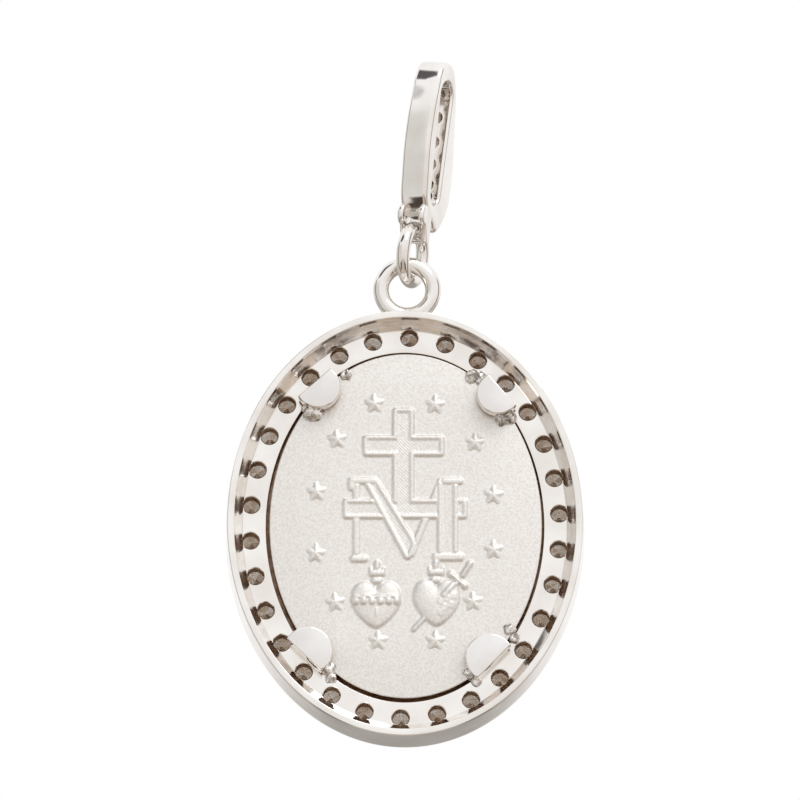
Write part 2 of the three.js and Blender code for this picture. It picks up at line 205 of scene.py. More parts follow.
@dataclass(frozen=True)
class StoneFinish:
    """Cut colourless stone: high lustre, and each facet painted a light or dark tone, a painted reflection of
    what it throws back.
    """

    name: str
    tones: tuple[tuple[float, str], ...]
    ior: float
    transmission: float
    roughness: float

    def material(self) -> Material:
        """Builds the material, which reads each facet's stored painted light or dark tone."""
        made, tree, shader = new_material(self.name)
        facet = add_node(tree, "ShaderNodeAttribute", attribute_name=PAINTED_FACET_LIGHT)
        feed(shader, {"IOR": self.ior, "Transmission Weight": self.transmission, "Roughness": self.roughness,
                      "Base Color": colour_ramp(tree, facet.outputs["Fac"], list(self.tones))})
        return made


PAINTED_FACET_LIGHT = "facet_tone"

# Cast white gold, plated with rhodium and buffed to a mirror: slight hand-polish ripple and warm grey tone
MIRROR_GOLD = GoldFinish(
    name="mirror polished white gold", light="f6f3f0", dark="ebe6e1", wander=2.5, roughness=(0.05, 0.13),
    grain=0.12, grain_depth=0.0009, wave=1.1, wave_depth=0.012,
)
# The same metal struck and left with a fine sandblasted grain, drawn about three times as coarse as it is
SATIN_GOLD = GoldFinish(
    name="sandblasted white gold", light="f5f3f0", dark="e9e4df", wander=0.13, roughness=(0.46, 0.54),
    grain=0.1, grain_depth=0.011, wave=1.6, wave_depth=0.006,
)
# Tab faces are filed flat and only lightly buffed, so they reflect softly and evenly
FILED_GOLD = GoldFinish(
    name="filed white gold", light="f0eeed", dark="e8e5e3", wander=1.4, roughness=(0.28, 0.36),
    grain=0.1, grain_depth=0.0012, wave=1.8, wave_depth=0.004,
)
# The cove inside the rim is burnished by hand, out of the buff's reach: bright, streaky and a little soft
BURNISHED_GOLD = GoldFinish(
    name="burnished white gold", light="fdfaf7", dark="efe9e3", wander=0.9, roughness=(0.1, 0.24),
    grain=0.16, grain_depth=0.002, wave=0.8, wave_depth=0.016,
)
# Run solder keeps a patchy grey fire scale that no polishing reached
SOLDER = GoldFinish(
    name="fire-scaled solder", light="f2eeea", dark="8f867e", wander=0.3, roughness=(0.12, 0.3),
    grain=0.09, grain_depth=0.003, wave=0.3, wave_depth=0.012,
)
# Walls of the drilled holes keep the drill's marks as rough grain; their brown tone is painted shade, laid on
# holes and crevices where shade falls
SHADED_RECESS_GOLD = GoldFinish(
    name="drilled white gold", light="dcc3aa", dark="a88a70", wander=0.4, roughness=(0.45, 0.6),
    grain=0.07, grain_depth=0.004, wave=0.5, wave_depth=0.01,
)
# Facet tones from brown to white are painted reflections and painted shade, not the stone's own colour
CUT_STONE = StoneFinish(
    name="brilliant cut stone",
    tones=((0.0, "c4a88f"), (0.35, "d8c4b0"), (0.6, "e6dacd"), (0.8, "f6f1ea"), (1.0, "ffffff")),
    ior=2.2, transmission=0.7, roughness=0.02,
)


def linked(name: str, data: Mesh | Camera | Light) -> Object:
    """Makes an object of some data and links it to the scene."""
    made = bpy.data.objects.new(name, data)
    bpy.context.scene.collection.objects.link(made)
    return made


def mesh_object(name: str, vertices: np.ndarray, faces: list) -> Object:
    """Makes an object from vertices and faces and links it to the scene."""
    mesh = bpy.data.meshes.new(name)
    mesh.from_pydata([tuple(v) for v in np.asarray(vertices, float)], [], [tuple(f) for f in faces])
    return linked(name, mesh)


@contextmanager
def editing(mesh: Mesh) -> Iterator[bmesh.types.BMesh]:
    """Opens a mesh for editing and writes it back."""
    work = bmesh.new()
    work.from_mesh(mesh)
    yield work
    work.to_mesh(mesh)
    work.free()


def tidy_mesh(target: Object, merge: float = 1e-4) -> Object:
    """Merges doubled vertices and points all faces outwards."""
    with editing(target.data) as work:
        bmesh.ops.remove_doubles(work, verts=work.verts, dist=merge)
        bmesh.ops.dissolve_degenerate(work, edges=work.edges, dist=merge / 2)
        bmesh.ops.recalc_face_normals(work, faces=work.faces)
    return target


def set_faces(target: Object, name: str, value: int) -> None:
    """Gives one value of a property to every face of a piece."""
    target.data.polygons.foreach_set(name, [value] * len(target.data.polygons))


def lifted(flat: np.ndarray, level: float) -> np.ndarray:
    """Lifts points of a plane to a level."""
    return np.column_stack([flat, np.full(len(flat), level)])


def full_turn(count: int) -> np.ndarray:
    """Gives evenly spaced angles round the circle, without the last."""
    return np.linspace(0, 2 * math.pi, count, endpoint=False)


def circle(angles: np.ndarray) -> np.ndarray:
    """Gives points on the circle of radius 1."""
    return np.stack([np.cos(angles), np.sin(angles)], axis=1)


def walk(points: np.ndarray) -> np.ndarray:
    """Gives the distance walked from the first point to each of them."""
    return np.concatenate([[0], np.cumsum(np.linalg.norm(np.diff(points, axis=0), axis=1))])


def grid_faces(rows: int, columns: int, wrap_rows: bool, wrap_columns: bool) -> list[tuple[int, ...]]:
    """Gives the quads of a grid of vertices that is stored row by row."""
    row = np.arange(rows if wrap_rows else rows - 1)[:, None]
    column = np.arange(columns if wrap_columns else columns - 1)[None, :]
    next_row = (row + 1) % rows
    next_column = (column + 1) % columns
    corners = [row * columns + column, row * columns + next_column,
               next_row * columns + next_column, next_row * columns + column]
    return np.stack([c.reshape(-1) for c in np.broadcast_arrays(*corners)], axis=1).tolist()


def stacked_loops(name: str, loops: list[np.ndarray]) -> Object:
    """Skins loops with equal numbers of points into a closed form with a flat face at each end."""
    count = len(loops[0])
    faces = grid_faces(len(loops), count, wrap_rows=False, wrap_columns=True)
    first = list(range(count))
    last = list(range(count * (len(loops) - 1), count * len(loops)))
    made = mesh_object(name, np.concatenate(loops), [*faces, first, last])
    return tidy_mesh(made)


def turned(name: str, profile: list[Pair], sides: int) -> Object:
    """Turns a profile of radius and height about the third axis. It starts and ends on the axis."""
    return stacked_loops(
        name, [lifted(radius * circle(full_turn(sides)), level) for radius, level in profile])


def wire_ring(name: str, radius: float, wire: float, around: int, sides: int) -> Object:
    """Bends round wire to a ring about the third axis, of the given mean radius."""
    turn, tube = full_turn(around)[:, None], full_turn(sides)[None, :]
    reach = radius + wire / 2 * np.cos(tube)
    points = np.stack([
        reach * np.cos(turn), reach * np.sin(turn), wire / 2 * np.sin(tube) + 0 * turn], axis=2)
    return tidy_mesh(mesh_object(name, points.reshape(-1, 3), grid_faces(around, sides, True, True)))


def rounded(corners: list[tuple[float, float, float]], step: float = 15.0) -> np.ndarray:
    """Rounds the corners of a closed outline.

    Args:
        corners: Each corner's two coordinates and its radius.
        step: Degrees of turn for each piece of an arc.

    Returns:
        The outline's points.
    """
    points = []
    for i, (x, y, radius) in enumerate(corners):
        here = np.array([x, y])
        back = np.array(corners[i - 1][:2]) - here
        ahead = np.array(corners[(i + 1) % len(corners)][:2]) - here
        back, ahead = back / np.linalg.norm(back), ahead / np.linalg.norm(ahead)
        half = math.acos(np.clip(back @ ahead, -1, 1)) / 2
        if radius <= 0 or half > math.radians(89):
            points.append(here)
            continue
        middle = (back + ahead) / np.linalg.norm(back + ahead)
        centre = here + middle * radius / math.sin(half)
        start = here + back * radius / math.tan(half) - centre
        end = here + ahead * radius / math.tan(half) - centre
        turn = math.pi - 2 * half
        count = max(2, math.ceil(math.degrees(turn) / step))
        for share in np.linspace(0, 1, count + 1):
            blend = start * math.sin((1 - share) * turn) + end * math.sin(share * turn)
            points.append(centre + blend / math.sin(turn))
    return np.array(points)


def refined(outline: np.ndarray, longest: float) -> np.ndarray:
    """Splits the outline's long edges so that none is longer than the given length."""
    points = []
    for here, ahead in zip(outline, np.roll(outline, -1, axis=0)):
        count = max(1, math.ceil(np.linalg.norm(ahead - here) / longest))
        points.extend(here + (ahead - here) * share for share in np.arange(count) / count)
    return np.array(points)


def inset(outline: np.ndarray, amount: float) -> np.ndarray:
    """Moves an anticlockwise outline inwards by the given amount, corner by corner."""
    along = np.roll(outline, -1, axis=0) - outline
    along /= np.linalg.norm(along, axis=1, keepdims=True)
    normal = np.stack([-along[:, 1], along[:, 0]], axis=1)
    before = np.roll(normal, 1, axis=0)
    middle = (normal + before) / (1 + np.sum(normal * before, axis=1, keepdims=True))
    return outline + middle * amount


def slab(name: str, outline: np.ndarray, low: float, high: float, low_round: float = 0.0,
         high_round: float = 0.0) -> Object:
    """Makes a plate from an anticlockwise outline, with its lower and upper edges rounded."""
    lower = [(low_round * (1 - math.sin(t)), low + low_round * (1 - math.cos(t))) for t in QUARTER]
    upper = [(high_round * (1 - math.cos(t)), high - high_round * (1 - math.sin(t))) for t in QUARTER]
    loops = (lower if low_round else lower[-1:]) + (upper if high_round else upper[:1])
    return stacked_loops(name, [lifted(inset(outline, amount), level) for amount, level in loops])


def shifted(target: Object, matrix: Matrix) -> Object:
    """Moves the vertices of a piece."""
    target.data.transform(matrix)
    return target


def merged(name: str, parts: list[Object]) -> Object:
    """Puts the meshes of several objects into one and removes the objects."""
    mesh = bpy.data.meshes.new(name)
    with editing(mesh) as work:
        for part in parts:
            work.from_mesh(part.data)
            bpy.data.objects.remove(part)
    return linked(name, mesh)


def evaluated(target: Object) -> Object:
    """Turns the result of a piece's modifiers into its plain mesh and removes the modifiers."""
    bpy.context.view_layer.update()
    graph = bpy.context.evaluated_depsgraph_get()
    result = bpy.data.meshes.new_from_object(target.evaluated_get(graph))
    target.modifiers.clear()
    target.data = result
    return target


def dressed(target: Object, *finishes: Material) -> Object:
    """Gives a piece these materials, with the first one on every face."""
    target.data.materials.clear()
    for finish in finishes:
        target.data.materials.append(finish)
    set_faces(target, "material_index", Skin.MIRROR)
    return target


def combined(target: Object, tools: list[Object], operation: str) -> Object:
    """Joins tools to a piece or cuts them from it, one after another, and removes the tools."""
    for tool in tools:
        change = target.modifiers.new(operation, "BOOLEAN")
        change.operation = operation
        change.solver = "MANIFOLD"
        change.object = tool
        evaluated(target)
        bpy.data.objects.remove(tool)
    return target


class GeometryTree:
    """A Geometry Nodes tree with named inputs, built here and run on one object."""

    SOCKETS = {float: "NodeSocketFloat", int: "NodeSocketInt", Object: "NodeSocketObject",
               Material: "NodeSocketMaterial"}

    def __init__(self, name: str, **inputs: object) -> None:
        """Starts the tree.

        Args:
            name: The tree's name.
            **inputs: The named inputs and their values. An underscore in a name is shown as a space.
        """
        self.tree = bpy.data.node_groups.new(name, "GeometryNodeTree")
        face = self.tree.interface
        for way in ("INPUT", "OUTPUT"):
            face.new_socket("Geometry", in_out=way, socket_type="NodeSocketGeometry")
        self.values = {}
        for key, value in inputs.items():
            kind = next(kind for kind in self.SOCKETS if isinstance(value, kind))
            socket = face.new_socket(key.replace("_", " "), in_out="INPUT", socket_type=self.SOCKETS[kind])
            self.values[socket.identifier] = value
        self.source = self.tree.nodes.new("NodeGroupInput")

    def input(self, name: str) -> NodeSocket:
        """Gives the socket of a named input."""
        return self.source.outputs[name]

    def add(self, kind: str, inputs: dict | None = None, **settings: object) -> Node:
        """Adds one node to this tree, as add_node does."""
        return add_node(self.tree, kind, inputs, **settings)

    def math(self, operation: str, first: object, second: object, **settings: object) -> Node:
        """Adds a Math node. Each side is a number, a socket or a node."""
        return self.add("ShaderNodeMath", {0: first, 1: second}, operation=operation, **settings)

    def form(self, name: str) -> NodeSocket:
        """Gives the geometry of the object in a named input."""
        return self.add("GeometryNodeObjectInfo", {"Object": self.input(name)}).outputs["Geometry"]

    def aim(self) -> NodeSocket:
        """Reads the aim that place_cloud() stores with each point."""
        named = self.add("GeometryNodeInputNamedAttribute", {"Name": "aim"}, data_type="FLOAT_VECTOR")
        return named.outputs["Attribute"]

    def copies(self, form: Node | NodeSocket, points: NodeSocket, rotation: object = (0.0, 0.0, 0.0)) -> Node:
        """Sets a form on each point, turned by rotation, and realizes the instances."""
        rows = self.add("GeometryNodeInstanceOnPoints", {
            "Points": points, "Instance": form, "Rotation": rotation})
        return self.add("GeometryNodeRealizeInstances", {"Geometry": rows})

    def run(self, geometry: Node, target: Object) -> Object:
        """Sets the finish on the tree's result, applies the tree to an object and leaves a plain mesh."""
        made = self.add("GeometryNodeSetMaterial", {"Geometry": geometry, "Material": self.input("Finish")})
        self.add("NodeGroupOutput", {"Geometry": made})
        modifier = target.modifiers.new(self.tree.name, "NODES")
        modifier.node_group = self.tree
        for identifier, value in self.values.items():
            modifier[identifier] = value
        return evaluated(target)


@dataclass(frozen=True)
class Place:
    """A place on a stone row: its point, and the turn that makes a form looking along -Z look outwards."""

    point: Vector
    aim: Matrix = field(default_factory=lambda: Matrix.Identity(3))


def place_cloud(name: str, places: list[Place]) -> Object:
    """Makes a cloud of points that carry their aim as Euler angles."""
    cloud = mesh_object(name, np.array([tuple(p.point) for p in places]), [])
    aims = cloud.data.attributes.new("aim", "FLOAT_VECTOR", "POINT")
    aims.data.foreach_set("vector", [c for p in places for c in p.aim.to_euler()])
    return cloud


def brilliant() -> Object:
    """Cuts a round brilliant of diameter 1 from a blank, facet by facet. Its table looks along -Z.

    Returns:
        An object with the girdle's upper edge at height 0.
    """
    table, crown, girdle, pavilion = 0.57, 0.149, 0.03, 0.42
    foot = girdle + pavilion
    blank = turned("brilliant", [(0, -crown), (0.5, -crown), (0.5, foot), (0, foot)], 32)
    bezel = math.atan(crown / (0.5 - table / 2))
    star = math.radians(21)
    inner = table / 2 * math.cos(math.radians(22.5))
    upper = bezel + math.radians(5)
    main = math.atan(pavilion / 0.5)
    lower = main + math.radians(1.6)
    # A facet's azimuth and slope, the radius and height of a point on it, and its side of the girdle
    facets = (
        (0, bezel, 0.5, 0, -1), (22.5, star, inner, crown, -1), (22.5, main, 0.5, girdle, 1),
        (-11.25, upper, 0.5, 0, -1), (11.25, lower, 0.5, girdle, 1),
        (11.25, upper, 0.5, 0, -1), (33.75, lower, 0.5, girdle, 1))
    with editing(blank.data) as work:
        for k, (azimuth, slope, radius, height, side) in itertools.product(range(8), facets):
            flat = math.radians(45 * k + azimuth)
            normal = Vector((math.sin(slope) * math.cos(flat), math.sin(slope) * math.sin(flat),
                             side * math.cos(slope)))
            distance = radius * math.sin(slope) + height * math.cos(slope)
            everything = [*work.verts, *work.edges, *work.faces]
            cut = bmesh.ops.bisect_plane(work, geom=everything, plane_co=normal * distance, plane_no=normal,
                                         clear_outer=True, dist=1e-5)
            edges = [e for e in cut["geom_cut"] if isinstance(e, bmesh.types.BMEdge)]
            if len(edges) > 2:
                bmesh.ops.contextual_create(work, geom=edges)
        bmesh.ops.remove_doubles(work, verts=work.verts, dist=2e-3)
        bmesh.ops.recalc_face_normals(work, faces=work.faces)
    return blank


def stone_row(name: str, places: list[Place], diameter: float, sink: float, seed: int) -> Object:
    """Sets a row of brilliants by Geometry Nodes, each turned about its own axis at random.

    Args:
        name: The piece's name.
        places: Where the stones sit.
        diameter: A stone's diameter.
        sink: How far the girdle lies below the face.
        seed: The seed of the turns and of the facets' painted light and dark tones.

    Returns:
        The row as one plain mesh with a painted light or dark tone on each facet.
    """
    template = brilliant()
    grow = GeometryTree(name, Stone=template, Diameter=diameter, Sink=sink, Seed=seed,
                        Finish=CUT_STONE.material())
    scale = grow.add("ShaderNodeCombineXYZ", dict.fromkeys("XYZ", grow.input("Diameter")))
    offset = grow.add("ShaderNodeCombineXYZ", {"Z": grow.input("Sink")})
    sized = grow.add("GeometryNodeTransform", {
        "Geometry": grow.form("Stone"), "Scale": scale, "Translation": offset})
    turn = grow.add("FunctionNodeRandomValue", {"Max": (0.0, 0.0, math.tau), "Seed": grow.input("Seed")},
                    data_type="FLOAT_VECTOR")
    spun = grow.add("FunctionNodeRotateRotation", {"Rotation": grow.aim(), "Rotate By": turn},
                    rotation_space="LOCAL")
    rows = grow.copies(sized, grow.input("Geometry"), spun)
    # Each facet gets a random tone: painted reflection standing in for the brilliant's sparkle
    tone = grow.add("FunctionNodeRandomValue", {"Seed": grow.input("Seed")}, data_type="FLOAT").outputs[1]
    toned = grow.add("GeometryNodeStoreNamedAttribute", {"Name": PAINTED_FACET_LIGHT, "Geometry": rows, "Value": tone},
                     data_type="FLOAT", domain="FACE")
    row = grow.run(toned, place_cloud(name, places))
    bpy.data.objects.remove(template)
    set_faces(row, "use_smooth", False)
    return row


def bead_row(name: str, places: list[Place], radius: float, finish: Material) -> Object:
    """Raises round setting beads at the given places by Geometry Nodes."""
    grow = GeometryTree(name, Bead_Radius=radius, Finish=finish)
    bead = grow.add("GeometryNodeMeshIcoSphere", {"Subdivisions": 3, "Radius": grow.input("Bead Radius")})
    return grow.run(grow.copies(bead, grow.input("Geometry")), place_cloud(name, places))


def drilled(target: Object, cutter: Object, places: list[Place], finish: Material) -> Object:
    """Drills a row of stone seats through a piece by Geometry Nodes.

    Args:
        target: The piece.
        cutter: The seat's shape, looking along -Z with the face at height 0.
        places: Where the stones sit.
        finish: The piece's material.

    Returns:
        The piece with its seats cut.
    """
    cloud = place_cloud(cutter.name + " places", places)
    grow = GeometryTree(cutter.name, Cutter=cutter, Places=cloud, Finish=finish)
    tools = grow.copies(grow.form("Cutter"), grow.form("Places"), grow.aim())
    cut = grow.add("GeometryNodeMeshBoolean", {"Mesh 1": grow.input("Geometry"), "Mesh 2": tools},
                   operation="DIFFERENCE", solver="MANIFOLD")
    grow.run(cut, target)
    for used in (cloud, cutter):
        bpy.data.objects.remove(used)
    return dressed(target, finish)


def paint_bore_shade(target: Object, places: list[Place], radius: float, finish: Material) -> None:
    """Gives the walls of the drilled holes, each of about the given radius, their own finish, whose brown
    tone is painted shade.
    """
    target.data.materials.append(finish)
    axes = [p.aim @ Vector((0, 0, 1)) for p in places]
    for face in target.data.polygons:
        for place, axis in zip(places, axes):
            away = face.center - place.point
            if away.length > 3 * radius:
                continue
            across = (away - axis * away.dot(axis)).length
            if across < radius * 1.02 and abs(face.normal.dot(axis)) < FLAT:
                face.material_index = Skin.DRILLED

@dataclass
class Finishes:
    """The materials of the metal pieces, made once."""

    mirror: Material
    satin: Material
    filed: Material
    # Its brown tone is painted shade for holes and crevices
    drilled: Material
    burnished: Material
    solder: Material

    @classmethod
    def make(cls) -> "Finishes":
        """Builds all of them."""
        return cls(*(finish.material() for finish in (
            MIRROR_GOLD, SATIN_GOLD, FILED_GOLD, SHADED_RECESS_GOLD, BURNISHED_GOLD, SOLDER)))


def settle(piece: Object, place: Matrix, body: Body, nodes: list[str],
           smooth: bool = True) -> Object:
    """Moves a finished mesh into the part's frame, gives it its shading, hangs it on its body and hides the
    CAD nodes that it stands for.

    Args:
        piece: The finished piece, in its own frame in millimetres.
        place: Its own frame in the part's frame, in millimetres.
        body: The body that it rides on.
        nodes: The CAD nodes that it stands for.
        smooth: False for cut stones, whose facets stay flat.

    Returns:
        The piece.
    """
    piece.data.transform(Matrix.Scale(MM, 4) @ place)
    if smooth:
        set_faces(piece, "use_smooth", True)
        piece.data.set_sharp_from_angle(angle=SHARP)
    piece.data.update()
    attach(piece, body.value)
    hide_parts(*nodes)
    log.info("%s: %d faces on %s", piece.name, len(piece.data.polygons), body.value)
    return piece


@dataclass(frozen=True)
class Setting:
    """A row of set stones: the stones' diameter, gap and depth, and their seats, azure holes and beads."""

    stone: float
    gap: float
    azure: float
    bead: float
    seat_wall: float
    seat_foot: float
    sink: float = 0.1
    play: float = 0.06

    def pitch(self) -> float:
        """Gives the distance from stone to stone."""
        return self.stone + self.gap

    def drill(self, target: Object, places: list[Place], ends: list[Pair], finishes: Finishes) -> Object:
        """Drills the seats and azure holes through a piece and paints brown shade on their walls.

        Args:
            target: The piece.
            places: Where the stones sit.
            ends: Radius and depth of the cutter's points below the seat, down to the axis.
            finishes: The metal finishes.

        Returns:
            The piece.
        """
        wide = self.stone / 2 + self.play
        cutter = turned("azure seat", [
            (0, -self.stone), (wide, -self.stone), (wide, self.seat_wall), (self.azure / 2, self.seat_foot),
            *ends], 40)
        drilled(target, cutter, places, finishes.mirror)
        paint_bore_shade(target, places, self.azure / 2 + 0.005, finishes.drilled)
        return target

    def set_stones(self, kind: str, places: list[Place], place: Matrix, body: Body, seed: int) -> None:
        """Cuts and settles the row of stones, which stands for the nodes kind_01, kind_02 and so on."""
        row = stone_row(kind + "s", places, self.stone, self.sink, seed)
        nodes = [f"{kind}_{i + 1:02d}" for i in range(len(places))]
        settle(row, place, body, nodes, smooth=False)


# Upright bars of the emblem, in millimetres from the medal's middle: left, right, low and high edge
BARS = {
    "thin stem": (-2.90, -2.50, -1.93, 2.7),
    "thin foot": (-3.08, -2.04, -2.06, -1.62),
    "cross stem": (-0.70, 0.53, 0.60, 6.81),
    "cross arms": (-2.36, 2.20, 4.01, 5.24),
    "base bar": (-3.47, 3.49, 0.42, 1.60),
    "serif": (-3.19, -1.5, 2.4, 2.83),
    "serif's end": (-3.19, -2.78, 2.02, 2.8),
    "thick stem": (1.79, 2.96, -1.93, 2.77),
    "thick head": (1.97, 3.26, 2.38, 2.81),
    "thick foot": (1.50, 3.29, -1.99, -1.5),
}
THIN_DIAGONAL = ((0.36, -1.55), (1.86, 2.23), 0.4)
THICK_DIAGONAL = (
    (-2.4, 2.7), (-1.5, 2.7), (0.5, -0.6), (0.66, -1.1), (0.34, -1.78), (0.15, -1.92), (-0.03, -1.84))
# Round rods of the hearts: start, end, width and rise
SPINE = ((-1.6, -4.75), (-1.6, -5.15), 0.12, 0.05)
BLADE = ((0.48, -5.88), (3.0, -3.1), 0.28, 0.13)
BLADE_ENTRY = ((2.9, -3.1), (2.15, -3.95), 0.32, 0.1)
HILT = (
    ((3.19, -2.8), (3.58, -2.2), 0.3, 0.17),
    ((2.55, -2.72), (3.3, -3.38), 0.28, 0.17),
    ((3.6, -2.14), (3.62, -2.12), 0.38, 0.17),
    ((2.55, -2.72), (2.57, -2.74), 0.42, 0.17),
    ((3.3, -3.38), (3.32, -3.4), 0.38, 0.17),
)
# Lobes of a flame, mirrored: distance from its middle, low and high end, width and rise
FLAME = ((0.14, 0.02, 0.02, 0.42, 0.15), (0.25, 0.45, 0.45, 0.44, 0.17), (0.36, 0.5, 0.72, 0.2, 0.13),
         (0.0, 0.75, 1.02, 0.36, 0.17))
ROSES = ((2.0, -4.3), (2.35, -4.15), (2.7, -4.0), (2.2, -4.65), (2.55, -4.5), (2.0, -4.95))
# Swellings of run solder: their height, how dense they are, and the step from one lump's pattern to the next
SWELLS = ((0.42, 1.1, (3.1, 0, 0)), (0.16, 3.2, (0, 2.3, 0)))
STARS = ((-1.711, 7.05), (1.678, 6.993), (-3.794, 5.006), (3.9, 4.822), (-4.928, 1.993), (4.928, 1.81),
         (-4.961, -1.529), (4.928, -1.323), (-3.878, -4.336), (3.783, -4.278), (-1.5, -6.506),
         (1.678, -6.506))


@dataclass
class Emblem:
    """The raised traditional emblem of the medal's reverse, as a height over the field at the points x and y.

    Bars have a rounded border and a hatched floor. Plain forms are round across, half wide to their crest.
    A depth is the distance from a form's edge, negative outside the form.
    """

    x: np.ndarray
    y: np.ndarray
    border: float = 0.3
    border_rise: float = 0.13
    floor_rise: float = 0.04
    hatch_pitch: float = 0.135
    hatch_rise: float = 0.015
    thin_half: float = 0.12
    thin_rise: float = 0.11
    plain_half: float = 0.2
    plain_rise: float = 0.12
    heart_edge: float = 0.05
    heart_rise: float = 0.26
    hearts_top: float = -1.9
    cord_half: float = 0.1
    knots: int = 6
    knot_half: float = 0.24
    knot_rise: float = 0.14
    rose: float = 0.24
    rose_rise: float = 0.055
    corner: float = 0.22
    softness: float = 1.1

    def box(self, name: str) -> np.ndarray:
        """Gives the depth in an upright bar with rounded corners."""
        left, right, low, high = BARS[name]
        across = np.abs(self.x - (left + right) / 2) - (right - left) / 2 + self.corner
        up = np.abs(self.y - (low + high) / 2) - (high - low) / 2 + self.corner
        outside = np.hypot(np.maximum(across, 0), np.maximum(up, 0))
        return self.corner - outside - np.minimum(np.maximum(across, up), 0)

    def away(self, start: Pair, end: Pair) -> np.ndarray:
        """Gives the distance from the line between two points."""
        (x0, y0), (x1, y1) = start, end
        run_x, run_y = x1 - x0, y1 - y0
        share = np.clip(((self.x - x0) * run_x + (self.y - y0) * run_y) / (run_x ** 2 + run_y ** 2), 0, 1)
        return np.hypot(self.x - x0 - share * run_x, self.y - y0 - share * run_y)

    def outline_depth(self, outline: np.ndarray) -> np.ndarray:
        """Gives the depth in a closed outline."""
        nearest = np.full(self.x.shape, 9.0)
        inside = np.zeros(self.x.shape, bool)
        for (x0, y0), (x1, y1) in zip(np.roll(outline, 1, axis=0), outline):
            nearest = np.minimum(nearest, self.away((x0, y0), (x1, y1)))
            if y1 != y0:
                crossing = x0 + (self.y - y0) * (x1 - x0) / (y1 - y0)
                inside ^= ((y0 > self.y) != (y1 > self.y)) & (self.x < crossing)
        return np.where(inside, nearest, -nearest)

    def bordered(self, depth: np.ndarray) -> np.ndarray:
        """Gives the height of a bar with a rounded border and a low floor."""
        wire = 1 - ((depth - self.border / 2) / (self.border / 2)) ** 2
        wire = self.border_rise * np.sqrt(np.clip(wire, 0, 1))
        return np.maximum(wire, self.floor_rise * np.clip(depth / self.border, 0, 1))

    def plain(self, depth: np.ndarray, half: float, rise: float) -> np.ndarray:
        """Gives the height of a plain form."""
        return rise * np.sqrt(np.clip(1 - (1 - np.clip(depth / half, 0, 1)) ** 2, 0, 1))

    def rod(self, start: Pair, end: Pair, width: float, rise: float) -> np.ndarray:
        """Gives the height of a round rod with round ends."""
        return self.plain(width / 2 - self.away(start, end), width / 2, rise)

    def heart_depth(self, left: float, right: float, low: float, high: float) -> np.ndarray:
        """Gives the depth in a full-bodied heart that fills a box, its cleft a little below its top."""
        half, tall = (right - left) / 2, high - low
        spans = (((0, 0), (0.3, 0.02), (1, 0.38), (1, 0.62)), ((1, 0.62), (1, 1.08), (0.25, 1.12), (0, 0.84)))
        t = np.linspace(0, 1, 16, endpoint=False)[:, None]
        side = []
        for a, b, c, d in (np.array(span, float) for span in spans):
            side.append(a * (1 - t) ** 3 + 3 * b * t * (1 - t) ** 2 + 3 * c * t ** 2 * (1 - t) + d * t ** 3)
        side = np.concatenate([*side, [[0, 0.84]]])
        outline = np.concatenate([side, side[-2:0:-1] * (-1, 1)])
        return self.outline_depth(outline * (half, tall) + ((left + right) / 2, low))

    def flame(self, centre: float, low: float) -> np.ndarray:
        """Gives the height of a small flame: a collar, a three-lobed crown and a bud on top."""
        height = np.zeros(self.x.shape)
        for side, start, end, width, rise in FLAME:
            for sign in (-1, 1):
                top = (centre + sign * side, low + end)
                foot = (centre - sign * side if start == end else top[0], low + start)
                height = np.maximum(height, self.rod(foot, top, width, rise))
        return height

    def thorns(self, left: float, right: float, level: float) -> np.ndarray:
        """Gives the height of the braid of thorns that crosses a heart: a cord over a row of knots."""
        half = self.cord_half
        wave = 0.2 + 0.03 * np.sin((self.x - left) * 9)
        cord = self.plain(half - np.abs(self.y - level - wave), half, self.thin_rise)
        height = np.where((self.x > left + half) & (self.x < right - half), cord, 0)
        wide = (right - left) / self.knots
        for k in range(self.knots):
            across = (self.x - left - (k + 0.5) * wide) / (wide * 0.46)
            away = np.hypot(across, (self.y - level + 0.04) / self.knot_half)
            height = np.maximum(height, self.knot_rise * np.sqrt(np.clip(1 - away ** 2, 0, 1)))
        return height

    def height(self) -> np.ndarray:
        """Gives the emblem's height, its forms laid over each other from back to front."""
        hatch_up, hatch_down = (0.5 + 0.5 * np.sin(way / self.hatch_pitch * 2 * math.pi / math.sqrt(2))
                                for way in (self.x - self.y, self.x + self.y))
        total = np.zeros(self.x.shape)
        hatched = np.zeros(self.x.shape)

        def lay(depth: np.ndarray, height: np.ndarray, hatch: np.ndarray | None = None) -> None:
            """Lays a form over what is there, with its floor hatched where a hatch is given."""
            total[depth > 0] = height[depth > 0]
            hatched[depth > 0] = 0
            if hatch is not None:
                floor = depth > self.border * 0.85
                hatched[floor] = hatch[floor]

        def lay_plain(depth: np.ndarray) -> None:
            """Lays a plain bar."""
            lay(depth, self.plain(depth, self.plain_half, self.plain_rise))

        start, end, width = THIN_DIAGONAL
        thin_diagonal = width / 2 - self.away(start, end)
        thin_stem = self.box("thin stem")
        lay(thin_stem, self.plain(thin_stem, self.thin_half, self.thin_rise))
        lay_plain(self.box("thin foot"))
        lay(thin_diagonal, self.plain(thin_diagonal, self.thin_half, self.thin_rise))
        cross = np.maximum.reduce([self.box(name) for name in ("cross stem", "cross arms", "base bar")])
        lay(cross, self.bordered(cross), np.where(np.abs(self.x + 0.08) < 0.6, hatch_down, hatch_up))
        diagonal = self.outline_depth(np.array(THICK_DIAGONAL))
        lay(diagonal, self.bordered(diagonal), hatch_down)
        lay_plain(np.maximum(self.box("serif"), self.box("serif's end")))
        thick_stem = self.box("thick stem")
        lay(thick_stem, self.bordered(thick_stem), hatch_up)
        lay_plain(self.box("thick head"))
        lay_plain(self.box("thick foot"))
        near = self.y < self.hearts_top
        hearts = np.zeros(self.x.shape)
        hearts[near] = Emblem(self.x[near], self.y[near]).hearts()
        return self.softened(np.maximum(total, hearts)) + self.hatch_rise * hatched

